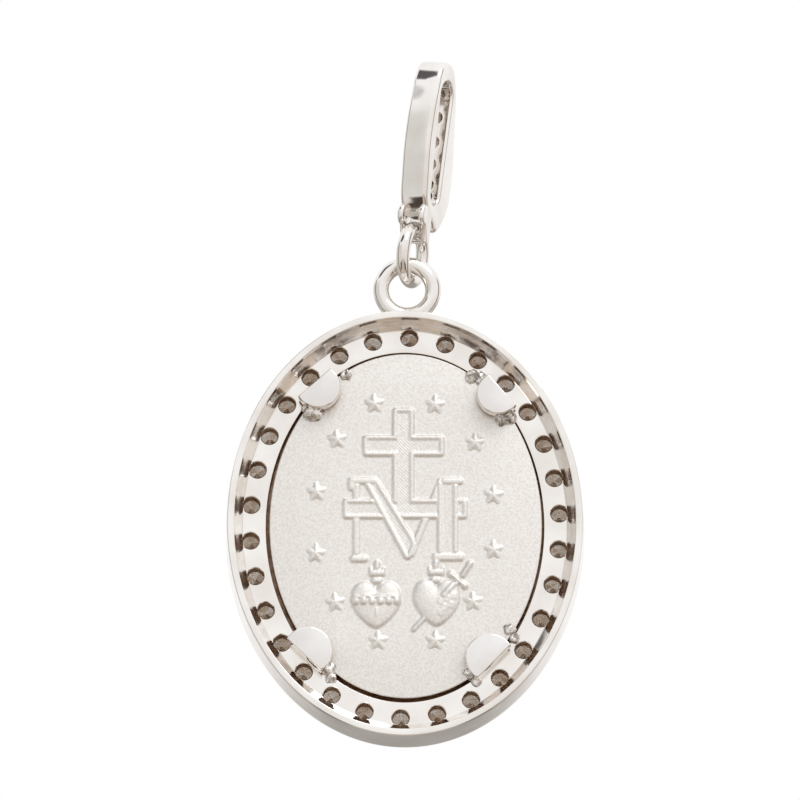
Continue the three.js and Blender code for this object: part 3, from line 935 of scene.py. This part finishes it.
    def softened(self, height: np.ndarray) -> np.ndarray:
        """Rounds the relief over a cell or two, as striking and blasting leave it."""
        reach = np.arange(-4, 5)
        weights = np.exp(-0.5 * (reach / self.softness) ** 2)
        weights /= weights.sum()
        for axis in (0, 1):
            height = sum(w * np.roll(height, k, axis=axis) for k, w in zip(reach, weights))
        return height

    def hearts(self) -> np.ndarray:
        """Gives the height of the two hearts with their flames, thorns, roses and sword."""
        left = self.heart_depth(-3.0, -0.22, -5.82, -3.2)
        right = self.heart_depth(0.45, 3.06, -5.7, -3.08)
        height = np.maximum.reduce([self.flame(-1.55, -3.12), self.flame(1.72, -3.08), self.rod(*BLADE)])
        for depth in (left, right):
            dome = self.heart_edge + self.plain(depth, 1.0, self.heart_rise - self.heart_edge)
            height = np.where(depth > 0, dome, height)
        braid = self.thorns(-3.0, -0.2, -4.25) + self.rod(*SPINE)
        height = np.where(left > -0.04, height + braid, height)
        added = self.rod(*BLADE_ENTRY)
        for rose_x, rose_y in ROSES:
            away = np.hypot(self.x - rose_x, self.y - rose_y)
            added += self.plain(self.rose - away, self.rose, self.rose_rise) * (0.7 + 0.3 * np.cos(away * 45))
        height = np.where(right > 0, height + added, height)
        return np.maximum.reduce([height, *(self.rod(*part) for part in HILT)])


@dataclass
class Drop:
    """The oval frame with its medal and stones. x is across, y is up and z goes from front to reverse.

    Each tab has its angle and twist in degrees, how far its straight edge lies past the opening, and its
    size as a share of the common tab's. Each solder lump has its place across and up, and its size.
    """

    half_width: float = 7.49
    half_height: float = 9.74
    medal_front: float = 0.45
    medal_back: float = 1.60
    medal_ease: float = 0.07
    medal_growth: Pair = (0.09, 0.1)
    medal_shift: Pair = (0.04, 0.065)
    relief_across: Pair = (-3.75, 3.95)
    relief_up: Pair = (-6.1, 7.0)
    relief_spacing: float = 0.036
    star_rise: float = 0.18
    star_root: float = 0.03
    ledge: float = 1.5
    rim: float = 2.7
    opening: float = 0.25
    ledge_width: float = 1.75
    rim_wall: float = 0.4
    lip_reach: float = 0.5
    lip_thickness: float = 0.35
    flare: float = 0.1
    cove_run: float = 0.46
    cove_rise: float = 0.8
    setting: Setting = Setting(stone=1.48, gap=0.56, azure=0.95, bead=0.2, seat_wall=0.15, seat_foot=0.49)
    stones: int = 30
    start_share: float = 0.12
    azure_ease: float = 0.05
    bead_play: float = 0.1
    tab_radius: float = 1.2
    tab_height: float = 1.5
    tab_face: float = 2.6
    tab_edge: float = 0.09
    # Height of the tab's root above the medal; the tab's sides below it are painted shade
    shaded_root_height: float = 0.3
    root_rise: float = 0.1
    root_set: float = 0.012
    foot_set: float = 0.03
    foot_taper: float = 0.95
    overlap: float = 0.05
    tabs: tuple[tuple[float, float, float, float], ...] = (
        (48.0, 0.0, 0.33, 1.0), (128.4, -4.0, 0.33, 1.03), (226.6, 6.0, 0.38, 1.12), (308.7, 0.0, 0.15, 1.13))
    lump_height: float = 0.6
    lumps: tuple[tuple[float, float, float], ...] = (
        (-5.1, 6.6, 0.6), (5.58, 6.38, 0.6), (-4.25, -8.1, 0.38), (-4.1, -8.6, 0.3), (3.65, -8.35, 0.4),
        (5.82, -5.85, 0.32), (6.1, -6.35, 0.3), (-3.3, 8.68, 0.3), (3.75, 8.62, 0.38), (4.3, 8.5, 0.36),
        (3.95, -8.8, 0.27))
    eye_hole: float = 2.0
    eye_wire: float = 0.9
    eye_embed: float = 0.3
    eye_back: float = 1.04
    eye_aside: float = 0.12

    def place(self) -> Matrix:
        """Gives the drop's own frame in the part's frame, from the medal's box."""
        low, high = (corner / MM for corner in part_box("medal"))
        origin = Vector(((low.x + high.x) / 2, high.y + self.medal_front, (low.z + high.z) / 2))
        turn = Matrix(((1, 0, 0), (0, 0, -1), (0, 1, 0))).to_4x4()
        return Matrix.Translation(origin) @ turn

    def top(self) -> float:
        """Gives the height of the frame's outer edge at the top."""
        return self.half_height + self.opening + self.ledge_width + self.rim_wall

    def oval(self, offset: float, angles: np.ndarray) -> np.ndarray:
        """Gives points on the oval that lies the given offset outside the medal's edge."""
        return circle(angles) * (self.half_width + offset, self.half_height + offset)

    def outward(self, offset: float, angle: float) -> Vector:
        """Gives the outward direction at one of these points."""
        return Vector((math.cos(angle) / (self.half_width + offset),
                       math.sin(angle) / (self.half_height + offset), 0)).normalized()

    def medal_edge(self, offset: float, angles: np.ndarray) -> np.ndarray:
        """Gives points the given offset outside the struck medal's edge, which sits a little off centre."""
        reach = np.array([self.half_width, self.half_height]) + self.medal_growth + offset
        return reach * circle(angles) + self.medal_shift

    def stone_places(self, shift: float = 0.0, beside: float = 0.0) -> list[Place]:
        """Gives evenly spaced places on the stone line.

        Args:
            shift: Share of a pitch by which the places are moved on, 0 for stones and 0.5 for gaps.
            beside: How far they lie outside the line.
        """
        middle = self.opening + self.ledge_width / 2
        fine = np.linspace(0, 2 * math.pi, 4001)
        walked = walk(self.oval(middle, fine))
        places = []
        for i in range(self.stones):
            share = (1.25 - (i + self.start_share + shift) / self.stones) % 1
            angle = np.interp(share * walked[-1], walked, fine)
            point = Vector((*self.oval(middle, np.array([angle]))[0], 0))
            places.append(Place(point + self.outward(middle, angle) * beside))
        return places

    def plate(self) -> Object:
        """Sweeps the frame's section, of offset, level and corner radius, round the oval."""
        inside = self.opening + self.ledge_width
        outside = inside + self.rim_wall
        lip = self.opening - self.lip_reach
        section = refined(rounded([
            (lip, 0, 0.05), (outside + self.flare, 0, 0.06), (outside, self.rim, 0.08),
            (inside, self.rim, 0.06), (inside, self.ledge + self.cove_rise, 0.3),
            (inside - self.cove_run, self.ledge, 0.12), (self.opening, self.ledge, 0.04),
            (self.opening, self.lip_thickness, 0.02), (lip, self.lip_thickness, 0.05),
        ]), 0.3)
        angles = full_turn(400)
        rings = [lifted(self.oval(offset, angles), level) for offset, level in section]
        faces = grid_faces(len(rings), len(angles), wrap_rows=True, wrap_columns=True)
        return tidy_mesh(mesh_object("oval_frame", np.concatenate(rings), faces))

    def azure_hole(self) -> list[Pair]:
        """Gives the radius and depth of an azure hole's profile, which is eased at the ledge."""
        hole, over = self.setting.azure / 2, self.rim + 1
        return [(hole, self.ledge - self.azure_ease), (hole + self.azure_ease, self.ledge + 0.004),
                (hole, self.ledge + 0.01), (hole, over), (0, over)]

    def tab(self, at: float, twist: float, reach: float, growth: float) -> Object:
        """Makes one D-shaped tab with its foot on the ledge, from a row of the tabs' table."""
        chord = self.tab_height - self.tab_radius
        start = math.asin(chord / self.tab_radius)
        outline = self.tab_radius * circle(np.linspace(math.pi - start, 2 * math.pi + start, 40)) - (0, chord)
        outline *= growth
        wide, narrow = self.tab_radius, self.tab_radius * self.foot_taper
        foot = inset(np.array([(-wide, -reach), (wide, -reach), (narrow, 0), (-narrow, 0)]), self.foot_set)
        shaded_root_top = self.medal_back + self.shaded_root_height
        made = merged("tab", [
            slab("tab", outline, shaded_root_top, self.tab_face, high_round=self.tab_edge),
            slab("tab root", inset(outline, self.root_set), self.medal_back + self.root_rise,
                 shaded_root_top + self.overlap, low_round=self.foot_set),
            slab("tab foot", foot, self.ledge - self.overlap, self.medal_back + 2 * self.root_rise)])
        for face in made.data.polygons:
            looks_back = face.normal.z > FACE_ON
            if looks_back and face.center.z > self.tab_face - 0.01:
                face.material_index = Skin.FILED
            # Sides of the tab's root and foot take the drilled finish: painted shade where the tab meets the
            # ledge
            elif face.center.z < shaded_root_top and face.normal.y < 0.5:
                face.material_index = Skin.DRILLED
        out = self.outward(self.opening, math.radians(at))
        spot = Vector((*self.oval(self.opening, np.array([math.radians(at)]))[0], 0)) + out * reach
        turn = math.atan2(out.y, out.x) - math.pi / 2 + math.radians(twist)
        return shifted(made, Matrix.Translation(spot) @ Matrix.Rotation(turn, 4, "Z"))

    def solder(self, size: float, seed: int, place: Matrix) -> Object:
        """Makes a small lump of run solder at a place, bulging as its seed says."""
        mesh = bpy.data.meshes.new("solder")
        with editing(mesh) as work:
            bmesh.ops.create_icosphere(work, subdivisions=4, radius=1.0)
            for vertex in work.verts:
                swell = 1 + sum(amount * noise.noise(vertex.co * density + Vector(step) * seed)
                                for amount, density, step in SWELLS)
                vertex.co *= swell * size
        return shifted(linked("solder", mesh), place @ Matrix.Diagonal((1.0, 1.0, self.lump_height, 1.0)))

    def eye(self) -> Object:
        """Makes the round wire eye on top of the frame."""
        ring = wire_ring("eye", (self.eye_hole + self.eye_wire) / 2, self.eye_wire, 96, 36)
        rise = self.top() + self.eye_hole / 2 + self.eye_wire - self.eye_embed
        return shifted(ring, Matrix.Translation((self.eye_aside, rise, self.eye_back)))

    def build_frame(self, finishes: Finishes) -> Object:
        """Builds the soldered frame with its holes, tabs, solder, eye and setting beads."""
        setting = self.setting
        plate = setting.drill(self.plate(), self.stone_places(), self.azure_hole(), finishes)
        self.finish_walls(plate)
        touch = setting.stone / 2 + self.bead_play + setting.bead
        reach = math.sqrt(max(0, touch ** 2 - (setting.pitch() / 2) ** 2))
        pairs = zip(self.stone_places(0.5, -reach), self.stone_places(0.5, reach))
        row = bead_row(
            "front beads", [bead for pair in pairs for bead in pair], setting.bead, finishes.mirror)
        solder = [self.solder(size, i, Matrix.Translation((x, y, self.medal_back)))
                  for i, (x, y, size) in enumerate(self.lumps)]
        for lump in solder:
            set_faces(lump, "material_index", Skin.SOLDER)
        weld = Matrix.Translation((self.eye_aside + 0.1, self.top(), 1.45))
        solder.append(self.solder(1.0, 9, weld @ Matrix.Diagonal((1.0, 0.3, 0.8, 1.0))))
        tabs = [self.tab(*tab) for tab in self.tabs]
        whole = merged("oval_frame", [plate, *tabs, *solder, self.eye(), row])
        for finish in (
                finishes.mirror, finishes.drilled, finishes.filed, finishes.burnished, finishes.solder):
            whole.data.materials.append(finish)
        return whole

    def finish_walls(self, plate: Object) -> None:
        """Paints brown shade on the walls of the gap round the medal and burnishes the cove inside the rim.
        """
        for face in plate.data.polygons:
            x, y, level = face.center
            share = math.hypot(x / (self.half_width + self.opening), y / (self.half_height + self.opening))
            # Walls of the narrow gap take the drilled finish: painted shade
            if share < 1.01 and self.lip_thickness - 0.02 < level < self.ledge - 0.05:
                face.material_index = Skin.DRILLED
            elif level > self.ledge + 0.03 and abs(face.normal.z) < 0.98 and self.faces_in(face):
                face.material_index = Skin.BURNISHED

    def faces_in(self, face: MeshPolygon) -> bool:
        """Tells whether a face of the frame looks towards the oval's middle."""
        return face.normal.x * face.center.x + face.normal.y * face.center.y < 0

    def medal(self, finishes: Finishes) -> Object:
        """Builds the struck medal: a fine patch for the emblem inside a plain oval disc, and its stars."""
        x, y = np.meshgrid(np.arange(*self.relief_across, self.relief_spacing),
                           np.arange(*self.relief_up, self.relief_spacing))
        height = self.medal_back + Emblem(x, y).height()
        patch = np.column_stack([x.reshape(-1), y.reshape(-1), height.reshape(-1)])
        faces = grid_faces(*x.shape, wrap_rows=False, wrap_columns=False)
        index = np.arange(x.size).reshape(x.shape)
        edge = np.concatenate([index[0, :-1], index[:-1, -1], index[-1, :0:-1], index[:0:-1, 0]])
        angles = np.arctan2(patch[edge, 1] / self.half_height, patch[edge, 0] / self.half_width)
        ease = self.medal_ease
        rings = [(-ease * (1 - math.sin(t)), self.medal_back - ease * (1 - math.cos(t))) for t in QUARTER]
        rings += [(0, self.medal_front + ease), (-ease, self.medal_front)]
        rim = np.concatenate([lifted(self.medal_edge(offset, angles), level) for offset, level in rings])
        loops = [edge, *(len(patch) + np.arange(len(rim)).reshape(len(rings), -1))]
        for low, high in zip(loops, loops[1:]):
            faces += np.stack([low, high, np.roll(high, -1), np.roll(low, -1)], axis=1).tolist()
        faces.append(loops[-1][::-1].tolist())
        disc = tidy_mesh(mesh_object("medal disc", np.concatenate([patch, rim]), faces), 1e-5)
        whole = dressed(
            merged("medal_struck", [disc, self.stars(finishes)]), finishes.satin, finishes.drilled)
        # The medal's edge down in the gap takes the drilled finish: painted shade
        for face in whole.data.polygons:
            if abs(face.normal.z) < 0.3 and face.center.z < self.medal_back - 0.06:
                face.material_index = Skin.DRILLED
        return whole

    def stars(self, finishes: Finishes) -> Object:
        """Raises twelve five-pointed stars round the emblem by Geometry Nodes."""
        places = [Place(Vector((x, y, self.medal_back - self.star_root))) for x, y in STARS]
        grow = GeometryTree("twelve stars", Star_Radius=0.7, Notch_Share=0.63, Star_Rise=self.star_rise,
                            Tilt=0.1, Seed=4, Finish=finishes.satin)
        rise, tilt = grow.input("Star Rise"), grow.input("Tilt")
        cone = grow.add("GeometryNodeMeshCone", {
            "Vertices": 40, "Side Segments": 6, "Radius Top": 0.0, "Radius Bottom": grow.input("Star Radius"),
            "Depth": rise}, fill_type="NGON")
        spot = grow.add("GeometryNodeInputPosition")
        across, up, level = grow.add("ShaderNodeSeparateXYZ", {0: spot}).outputs
        tenths = grow.math("MULTIPLY", grow.math("ARCTAN2", up, across), 5 / math.pi)
        notch = grow.add("ShaderNodeMapRange", {
            "Value": grow.math("PINGPONG", tenths, 1.0), "To Min": 1.0, "To Max": grow.input("Notch Share")},
            interpolation_type="SMOOTHSTEP")
        left = grow.math("SUBTRACT", 1.0, grow.math("DIVIDE", level, rise), use_clamp=True)
        swelled = grow.math("SUBTRACT", 1.0, grow.math("POWER", left, 1.5))
        squeeze = grow.add("ShaderNodeVectorMath", {0: spot, "Scale": notch}, operation="SCALE")
        flat = grow.add("ShaderNodeSeparateXYZ", {0: squeeze})
        drawn = grow.add("ShaderNodeCombineXYZ", {
            "X": flat.outputs["X"], "Y": flat.outputs["Y"], "Z": grow.math("MULTIPLY", swelled, rise)})
        star = grow.add("GeometryNodeSetPosition", {"Geometry": cone, "Position": drawn})
        turn = grow.add("FunctionNodeRandomValue", {
            2: grow.math("MULTIPLY", tilt, -1.0), 3: tilt, "Seed": grow.input("Seed")}, data_type="FLOAT")
        spin = grow.add("ShaderNodeCombineXYZ", {"Z": grow.math("ADD", turn.outputs[1], math.pi / 10)})
        return grow.run(grow.copies(star, grow.input("Geometry"), spin), place_cloud("stars", places))

    def build(self, finishes: Finishes) -> None:
        """Builds the frame, the medal and the stones and settles them."""
        place = self.place()
        settle(self.build_frame(finishes), place, Body.DROP, ["halo_frame"])
        settle(self.medal(finishes), place, Body.DROP, ["medal"])
        self.setting.set_stones("halo_stone", self.stone_places(), place, Body.DROP, seed=7)


@dataclass
class Bail:
    """The long oval bail. x is across, y goes from the near band to the stone-set band and z is up.

    The outline's points are shares of its depth and height.
    """

    width: float = 1.6
    height: float = 9.5
    depth: float = 4.08
    top_wall: float = 0.98
    bottom_wall: float = 1.47
    near_wall: float = 1.05
    opening_top: float = 1.76
    opening_bottom: float = 1.32
    bridge: float = 0.52
    row_end: float = 0.83
    cheek_drop: float = 0.8
    cheek_depth: float = 0.62
    cheek_inset: float = 1.25
    cheek_edge: float = 0.15
    lug_centre: Pair = (0.62, 0.76)
    lug_reach: Pair = (0.5, 0.6)
    bar: float = 0.4
    slot: float = 0.88
    pitch_angle: float = 5.0
    edge: float = 0.24
    setting: Setting = Setting(stone=1.15, gap=0.23, azure=0.7, bead=0.13, seat_wall=0.14, seat_foot=0.4)
    stone_drop: float = 1.35
    outline: tuple[Pair, ...] = (
        (0.221, 0.962), (0.157, 0.906), (0.125, 0.85), (0.04, 0.684), (0.0, 0.482), (0.034, 0.3), (0.06, 0.2),
        (0.09, 0.165), (0.133, 0.13), (0.21, 0.09), (0.36, 0.06), (0.56, 0.0), (0.8, 0.069), (0.965, 0.19),
        (1.0, 0.372), (0.949, 0.576), (0.797, 0.898), (0.64, 0.994), (0.468, 1.012), (0.315, 0.998))

    def near(self) -> float:
        """Gives how far the near band's face lies towards -y."""
        return -(self.near_wall + self.opening_top / 2)

    def low(self) -> float:
        """Gives the band's lowest height."""
        return self.top_wall - self.height

    def foot(self) -> float:
        """Gives the height of the opening's lowest point."""
        return -(self.height - self.top_wall - self.bottom_wall)

    def bar_place(self) -> Vector:
        """Gives the middle of the cross bar."""
        return Vector((0, self.near() + self.cheek_inset, self.low() - self.cheek_drop + self.bar / 2))

    def side_curve(self, per_span: int = 40) -> np.ndarray:
        """Draws the smooth side outline through its points, as a centripetal Catmull-Rom curve."""
        points = np.array(self.outline) * (self.depth, self.height) + (self.near(), self.low())
        curve = []
        for i in range(len(points)):
            p0, p1, p2, p3 = (points[(i + k) % len(points)] for k in (-1, 0, 1, 2))
            spans = ((p0, p1), (p1, p2), (p2, p3))
            step0, step1, step2 = (math.sqrt(np.linalg.norm(b - a)) for a, b in spans)
            leave = ((p1 - p0) / step0 - (p2 - p0) / (step0 + step1) + (p2 - p1) / step1) * step1
            arrive = ((p2 - p1) / step1 - (p3 - p1) / (step1 + step2) + (p3 - p2) / step2) * step1
            for t in np.arange(per_span) / per_span:
                curve.append(p1 + leave * t + (-3 * p1 + 3 * p2 - 2 * leave - arrive) * t ** 2
                             + (2 * p1 - 2 * p2 + leave + arrive) * t ** 3)
        return np.array(curve)

    def opening(self) -> np.ndarray:
        """Gives rows of a point on the long opening and its outward direction."""
        top, low = self.opening_top / 2, self.opening_bottom / 2

        def arc(centre: Pair, radius: float, angles: np.ndarray) -> np.ndarray:
            """Gives the rows of an arc."""
            return np.hstack([np.array(centre) + radius * circle(angles), circle(angles)])

        over = arc((0, -top), top, np.linspace(math.pi, 0, 41))
        under = arc((low - top, low + self.foot()), low, np.linspace(0, -math.pi, 41))
        shares = np.linspace(0, 1, 62)[1:-1, None]
        return np.vstack([over, over[-1] + (under[0] - over[-1]) * shares,
                          under, under[-1] + (over[0] - under[-1]) * shares])

    def band(self) -> Object:
        """Makes the band as a ring of rounded rectangular sections between the opening and the outline."""
        curve = self.side_curve()
        run = np.roll(curve, -1, axis=0) - curve
        half = self.width / 2
        rings = []
        for row in self.opening():
            point, direction = row[:2], row[2:]
            cross = direction[0] * run[:, 1] - direction[1] * run[:, 0]
            away = curve - point
            reach = (away[:, 0] * run[:, 1] - away[:, 1] * run[:, 0]) / cross
            share = (away[:, 0] * direction[1] - away[:, 1] * direction[0]) / cross
            good = (share >= -1e-6) & (share <= 1 + 1e-6) & (reach > 0)
            far = direction * reach[good].min()
            thick = np.linalg.norm(far)
            section = rounded([(-half, 0, self.edge * 0.7), (half, 0, self.edge * 0.7),
                               (half, thick, self.edge), (-half, thick, self.edge)], 22.5)
            rings.append([(x, *(point + far / thick * t)) for x, t in section])
        faces = grid_faces(len(rings), len(rings[0]), wrap_rows=True, wrap_columns=True)
        return tidy_mesh(mesh_object("bail_band", np.concatenate(rings), faces))

    def cheeks(self) -> tuple[list[Object], Object]:
        """Makes the two rounded cheeks that hang below the band, and the slot to cut between them."""
        bar = self.bar_place().yz
        leg_top = self.foot() - self.bridge
        half = self.cheek_depth / 2
        corner = (self.near() + self.lug_centre[0], self.low() + self.lug_centre[1])
        lug = circle(np.radians(np.arange(90, 271, 10))) * self.lug_reach + corner
        end = half * circle(np.linspace(math.pi, 2 * math.pi, 25)) + bar
        outline = np.vstack([(bar.x + half, leg_top + 0.3), lug, end])
        cheeks = []
        for sign in (-1, 1):
            low, high = sorted((sign * self.slot / 2, sign * (self.width / 2 - 0.002)))
            cheeks.append(shifted(
                slab("cheek", outline, low, high, self.cheek_edge, self.cheek_edge), UPRIGHT))
        slot_outline = np.array([(-9.0, bar.y - 2), (9.0, bar.y - 2), (9.0, leg_top), (-9.0, leg_top)])
        slot = shifted(slab("slot", slot_outline, -self.slot / 2, self.slot / 2, 0, 0), UPRIGHT)
        return cheeks, slot

    def cross_bar(self) -> Object:
        """Turns the round bar that carries the jump ring."""
        reach = self.width / 2 - 0.03
        bar = turned("cross bar", [
            (0, -reach), (self.bar / 2, -reach), (self.bar / 2, reach), (0, reach)], 24)
        return shifted(bar, Matrix.Translation(self.bar_place()) @ Matrix.Rotation(math.pi / 2, 4, "Y"))

    def row(self) -> tuple[list[Place], list[Place]]:
        """Walks the far outline and gives the places of the stones and of the gaps between them."""
        curve = self.side_curve()
        closed = np.vstack([curve, curve[:1]])
        walked = walk(closed)

        def at(distance: float) -> np.ndarray:
            """Gives the outline's point at a distance walked."""
            return np.array([np.interp(distance % walked[-1], walked, closed[:, k]) for k in (0, 1)])

        far = (curve[:, 0] > self.opening_top / 2) & (curve[:, 1] < self.top_wall - self.stone_drop)
        distance = walked[np.nonzero(far)[0].max()]
        places = []
        while at(distance)[1] >= self.foot() - self.row_end:
            point = at(distance)
            run = at(distance + 0.05) - point
            aim = Matrix.Rotation(math.pi / 2 + math.atan2(-run[0], run[1]), 3, "X")
            places.append(Place(Vector((0, *point)), aim))
            distance -= self.setting.pitch() / 2
        stones = places[::2]
        return stones, places[1::2][:len(stones) - 1]

    def build(self, lean: Matrix, finishes: Finishes) -> None:
        """Builds the bail and its stones.

        Args:
            lean: The leaning frame in the part's frame.
            finishes: The metal finishes.
        """
        place = lean @ Matrix.Rotation(math.radians(self.pitch_angle), 4, "X")
        cheeks, slot = self.cheeks()
        whole = combined(self.band(), [slot], "DIFFERENCE")
        whole = combined(whole, cheeks, "UNION")
        stones, gaps = self.row()
        bore = self.depth - self.near_wall - self.opening_bottom
        self.setting.drill(whole, stones, [(self.setting.azure / 2, bore), (0, bore)], finishes)
        side = self.width / 2 - 2 * self.setting.bead
        beads = [Place(gap.point + Vector((sign * side, 0, 0)), gap.aim) for gap in gaps for sign in (-1, 1)]
        beading = bead_row("bail beads", beads, self.setting.bead, finishes.mirror)
        whole = merged("bail_polished", [whole, self.cross_bar(), beading])
        for finish in (finishes.mirror, finishes.drilled):
            whole.data.materials.append(finish)
        settle(whole, place, Body.BAIL, ["bail"])
        self.setting.set_stones("bail_stone", stones, place, Body.BAIL, seed=11)


@dataclass
class JumpRing:
    """The plain round link between the bail's cross bar and the drop's eye."""

    mean_radius: float = 1.5
    wire: float = 0.76
    bar: float = 0.4
    clearance: float = 0.06

    def build(self, lean: Matrix, pivot: Vector, finishes: Finishes) -> None:
        """Builds the ring below its pivot.

        Args:
            lean: The leaning frame in the part's frame.
            pivot: The cross bar's middle in the part's frame, in millimetres.
            finishes: The metal finishes.
        """
        fall = self.mean_radius - self.wire / 2 - self.clearance - self.bar / 2
        ring = wire_ring("jump_ring_polished", self.mean_radius, self.wire, 120, 40)
        shifted(ring, Matrix.Translation((0, 0, -fall)) @ UPRIGHT)
        ring.data.materials.append(finishes.mirror)
        settle(ring, Matrix.Translation(pivot) @ lean, Body.LINK, ["jump_ring"])


# Tones of the white room from below to above, on (level + 1) / 2
ROOM = [(0.06, "f6f3f0"), (0.1, "4a423c"), (0.2, "4a423c"), (0.25, "e8e3de"), (0.5, "f5f2ef"),
        (0.6, "fcfbfa"), (0.7, "ffffff")]
# Darker parts of the room: a colour, and the fades that bound it, each with its axis, start and end
SHADES = (
    # Pale walls low at both sides
    ("e8e3de", ("wide", 0.61, 0.71), ("level", -0.2, -0.3), ("depth", -0.48, -0.4)),
    # Table in front
    ("c8bcae", ("wide", 0.45, 0.3), ("depth", -0.05, -0.2), ("level", -0.4, -0.55)),
    # Gap between two lamps, high on the left
    ("5c595b", ("level", 0.5, 0.58), ("level", 0.88, 0.8), ("across", -0.25, -0.35), ("depth", -0.1, -0.25),
     ("depth", -0.66, -0.62)),
    # Wall on the left
    ("dddcd9", ("across", -0.35, -0.6), ("level", 0.5, 0.3), ("level", -0.5, -0.4)),
    # Dim warm ring between front and back
    ("958a81", ("depth", -0.24, -0.06), ("depth", 0.26, 0.1), ("level", 0.6, 0.45)),
    # Table behind
    ("a9a5a1", ("level", 0.15, -0.25), ("depth", 0.2, 0.6)),
)


@dataclass
class Studio:
    """White studio: a pale floor far below, soft light and a long lens that looks up from the front."""

    elevation: float = -14.0
    distance: float = 700.0
    pixels_per_mm: float = 18.0
    photo_side: float = 800.0
    rim_centre: Pair = (405.0, 522.0)
    sensor: float = 36.0
    floor_level: float = -260.0
    floor_half: float = 2500.0
    key_size: float = 0.26
    key_power: float = 0.4
    key_place: tuple[float, float, float] = (0.16, -0.28, 0.34)
    key_aim: tuple[float, float, float] = (0, 0, -0.025)

    def camera(self, drop: Drop) -> None:
        """Sets the camera so that the centre of the rim's back edge falls on its pixel in the photograph."""
        data = bpy.data.cameras.new("studio camera")
        made = linked("studio camera", data)
        tilt = math.radians(self.elevation)
        back = Vector((0, -math.cos(tilt), math.sin(tilt)))
        up = Vector((0, math.sin(tilt), math.cos(tilt)))
        target = drop.place() @ Vector((0, 0, drop.rim))
        across = (self.photo_side / 2 - self.rim_centre[0]) / self.pixels_per_mm
        rise = (self.rim_centre[1] - self.photo_side / 2) / self.pixels_per_mm
        aim = target + Vector((across, 0, 0)) + up * rise
        data.sensor_width = self.sensor
        data.lens = self.sensor * self.distance / (self.photo_side / self.pixels_per_mm)
        data.clip_start = 0.01
        data.clip_end = 10.0
        made.location = (aim + back * self.distance) * MM
        made.rotation_euler = (-back).to_track_quat("-Z", "Y").to_euler()
        bpy.context.scene.camera = made

    def floor(self) -> None:
        """Lays the floor: matt off-white board, kept out of the metal's reflections like a lit sweep."""
        corners = self.floor_half * np.array([(-1, -1, 0), (1, -1, 0), (1, 1, 0), (-1, 1, 0)])
        board = mesh_object("floor", corners, [(0, 1, 2, 3)])
        shifted(board, Matrix.Scale(MM, 4) @ Matrix.Translation((0, 0, self.floor_level)))
        board.visible_glossy = False
        paint, tree, shader = new_material("off-white board")
        tone = colour_ramp(tree, noise_node(tree, 4.0), [(0.3, "f1f0ee"), (0.7, "f6f5f4")])
        feed(shader, {"Roughness": 0.9, "Base Color": tone})
        board.data.materials.append(paint)

    def key_light(self) -> None:
        """Hangs the soft key light up to the right in front, which models the relief."""
        data = bpy.data.lights.new("key light", "AREA")
        data.shape = "DISK"
        data.size = self.key_size
        data.energy = self.key_power
        made = linked("key light", data)
        made.location = self.key_place
        aim = Vector(self.key_aim) - made.location
        made.rotation_euler = aim.to_track_quat("-Z", "Y").to_euler()

    def surround(self) -> None:
        """Surrounds the pendant with a white room that is dark low all round and shaded in some parts."""
        world = bpy.data.worlds.new("white studio")
        bpy.context.scene.world = world
        world.use_nodes = True
        tree = world.node_tree
        tree.nodes.clear()
        way = add_node(tree, "ShaderNodeTexCoord").outputs["Generated"]
        parts = add_node(tree, "ShaderNodeSeparateXYZ", {0: way})
        axes = dict(zip(("across", "depth", "level"), parts.outputs))
        axes["wide"] = add_node(tree, "ShaderNodeMath", {0: parts}, operation="ABSOLUTE")
        height = add_node(tree, "ShaderNodeMapRange", {
            "Value": axes["level"], "From Min": -1.0, "From Max": 1.0})
        room = colour_ramp(tree, height, ROOM)
        for colour, *fades in SHADES:
            share = 1.0
            for axis, start, end in fades:
                fade = add_node(tree, "ShaderNodeMapRange", {
                    "Value": axes[axis], "From Min": start, "From Max": end}, interpolation_type="SMOOTHSTEP")
                share = add_node(tree, "ShaderNodeMath", {0: share, 1: fade}, operation="MULTIPLY")
            room = add_node(tree, "ShaderNodeMix", {"A": room, "B": linear(colour), "Factor": share},
                            data_type="RGBA").outputs["Result"]
        lit = add_node(tree, "ShaderNodeBackground", {"Color": room, "Strength": 1.0})
        seen = add_node(tree, "ShaderNodeBackground", {"Color": linear("ffffff"), "Strength": 1.0})
        ray = add_node(tree, "ShaderNodeLightPath").outputs["Is Camera Ray"]
        mixed = add_node(tree, "ShaderNodeMixShader", {0: ray, 1: lit, 2: seen})
        add_node(tree, "ShaderNodeOutputWorld", {"Surface": mixed})

    def build(self, drop: Drop) -> None:
        """Sets the camera, the floor and the light."""
        self.camera(drop)
        self.floor()
        self.key_light()
        self.surround()
        bpy.context.scene.view_settings.view_transform = "Standard"


def leaning_frame() -> Matrix:
    """Gives the frame in which the bail and the link hang, from the axes of the two joints."""
    axes = {joint["name"]: Vector(joint["axis"]) for joint in frame["joints"]}
    across = axes["link_swing"].normalized()
    depth = axes["drop_sway"].normalized()
    up = across.cross(depth)
    return Matrix((across, depth, up)).transposed().to_4x4()


def main() -> None:
    """Builds the pendant from the top down and reports each piece."""
    logging.basicConfig(level=logging.INFO, format="%(name)s: %(message)s")
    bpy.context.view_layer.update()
    finishes = Finishes.make()
    pivots = {joint["name"]: Vector(joint["pos_m"]) / MM for joint in frame["joints"]}
    lean = leaning_frame()
    drop = Drop()
    Bail().build(lean, finishes)
    JumpRing().build(lean, pivots["link_swing"], finishes)
    drop.build(finishes)
    Studio().build(drop)
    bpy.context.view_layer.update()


if __name__ == "__main__":
    main()
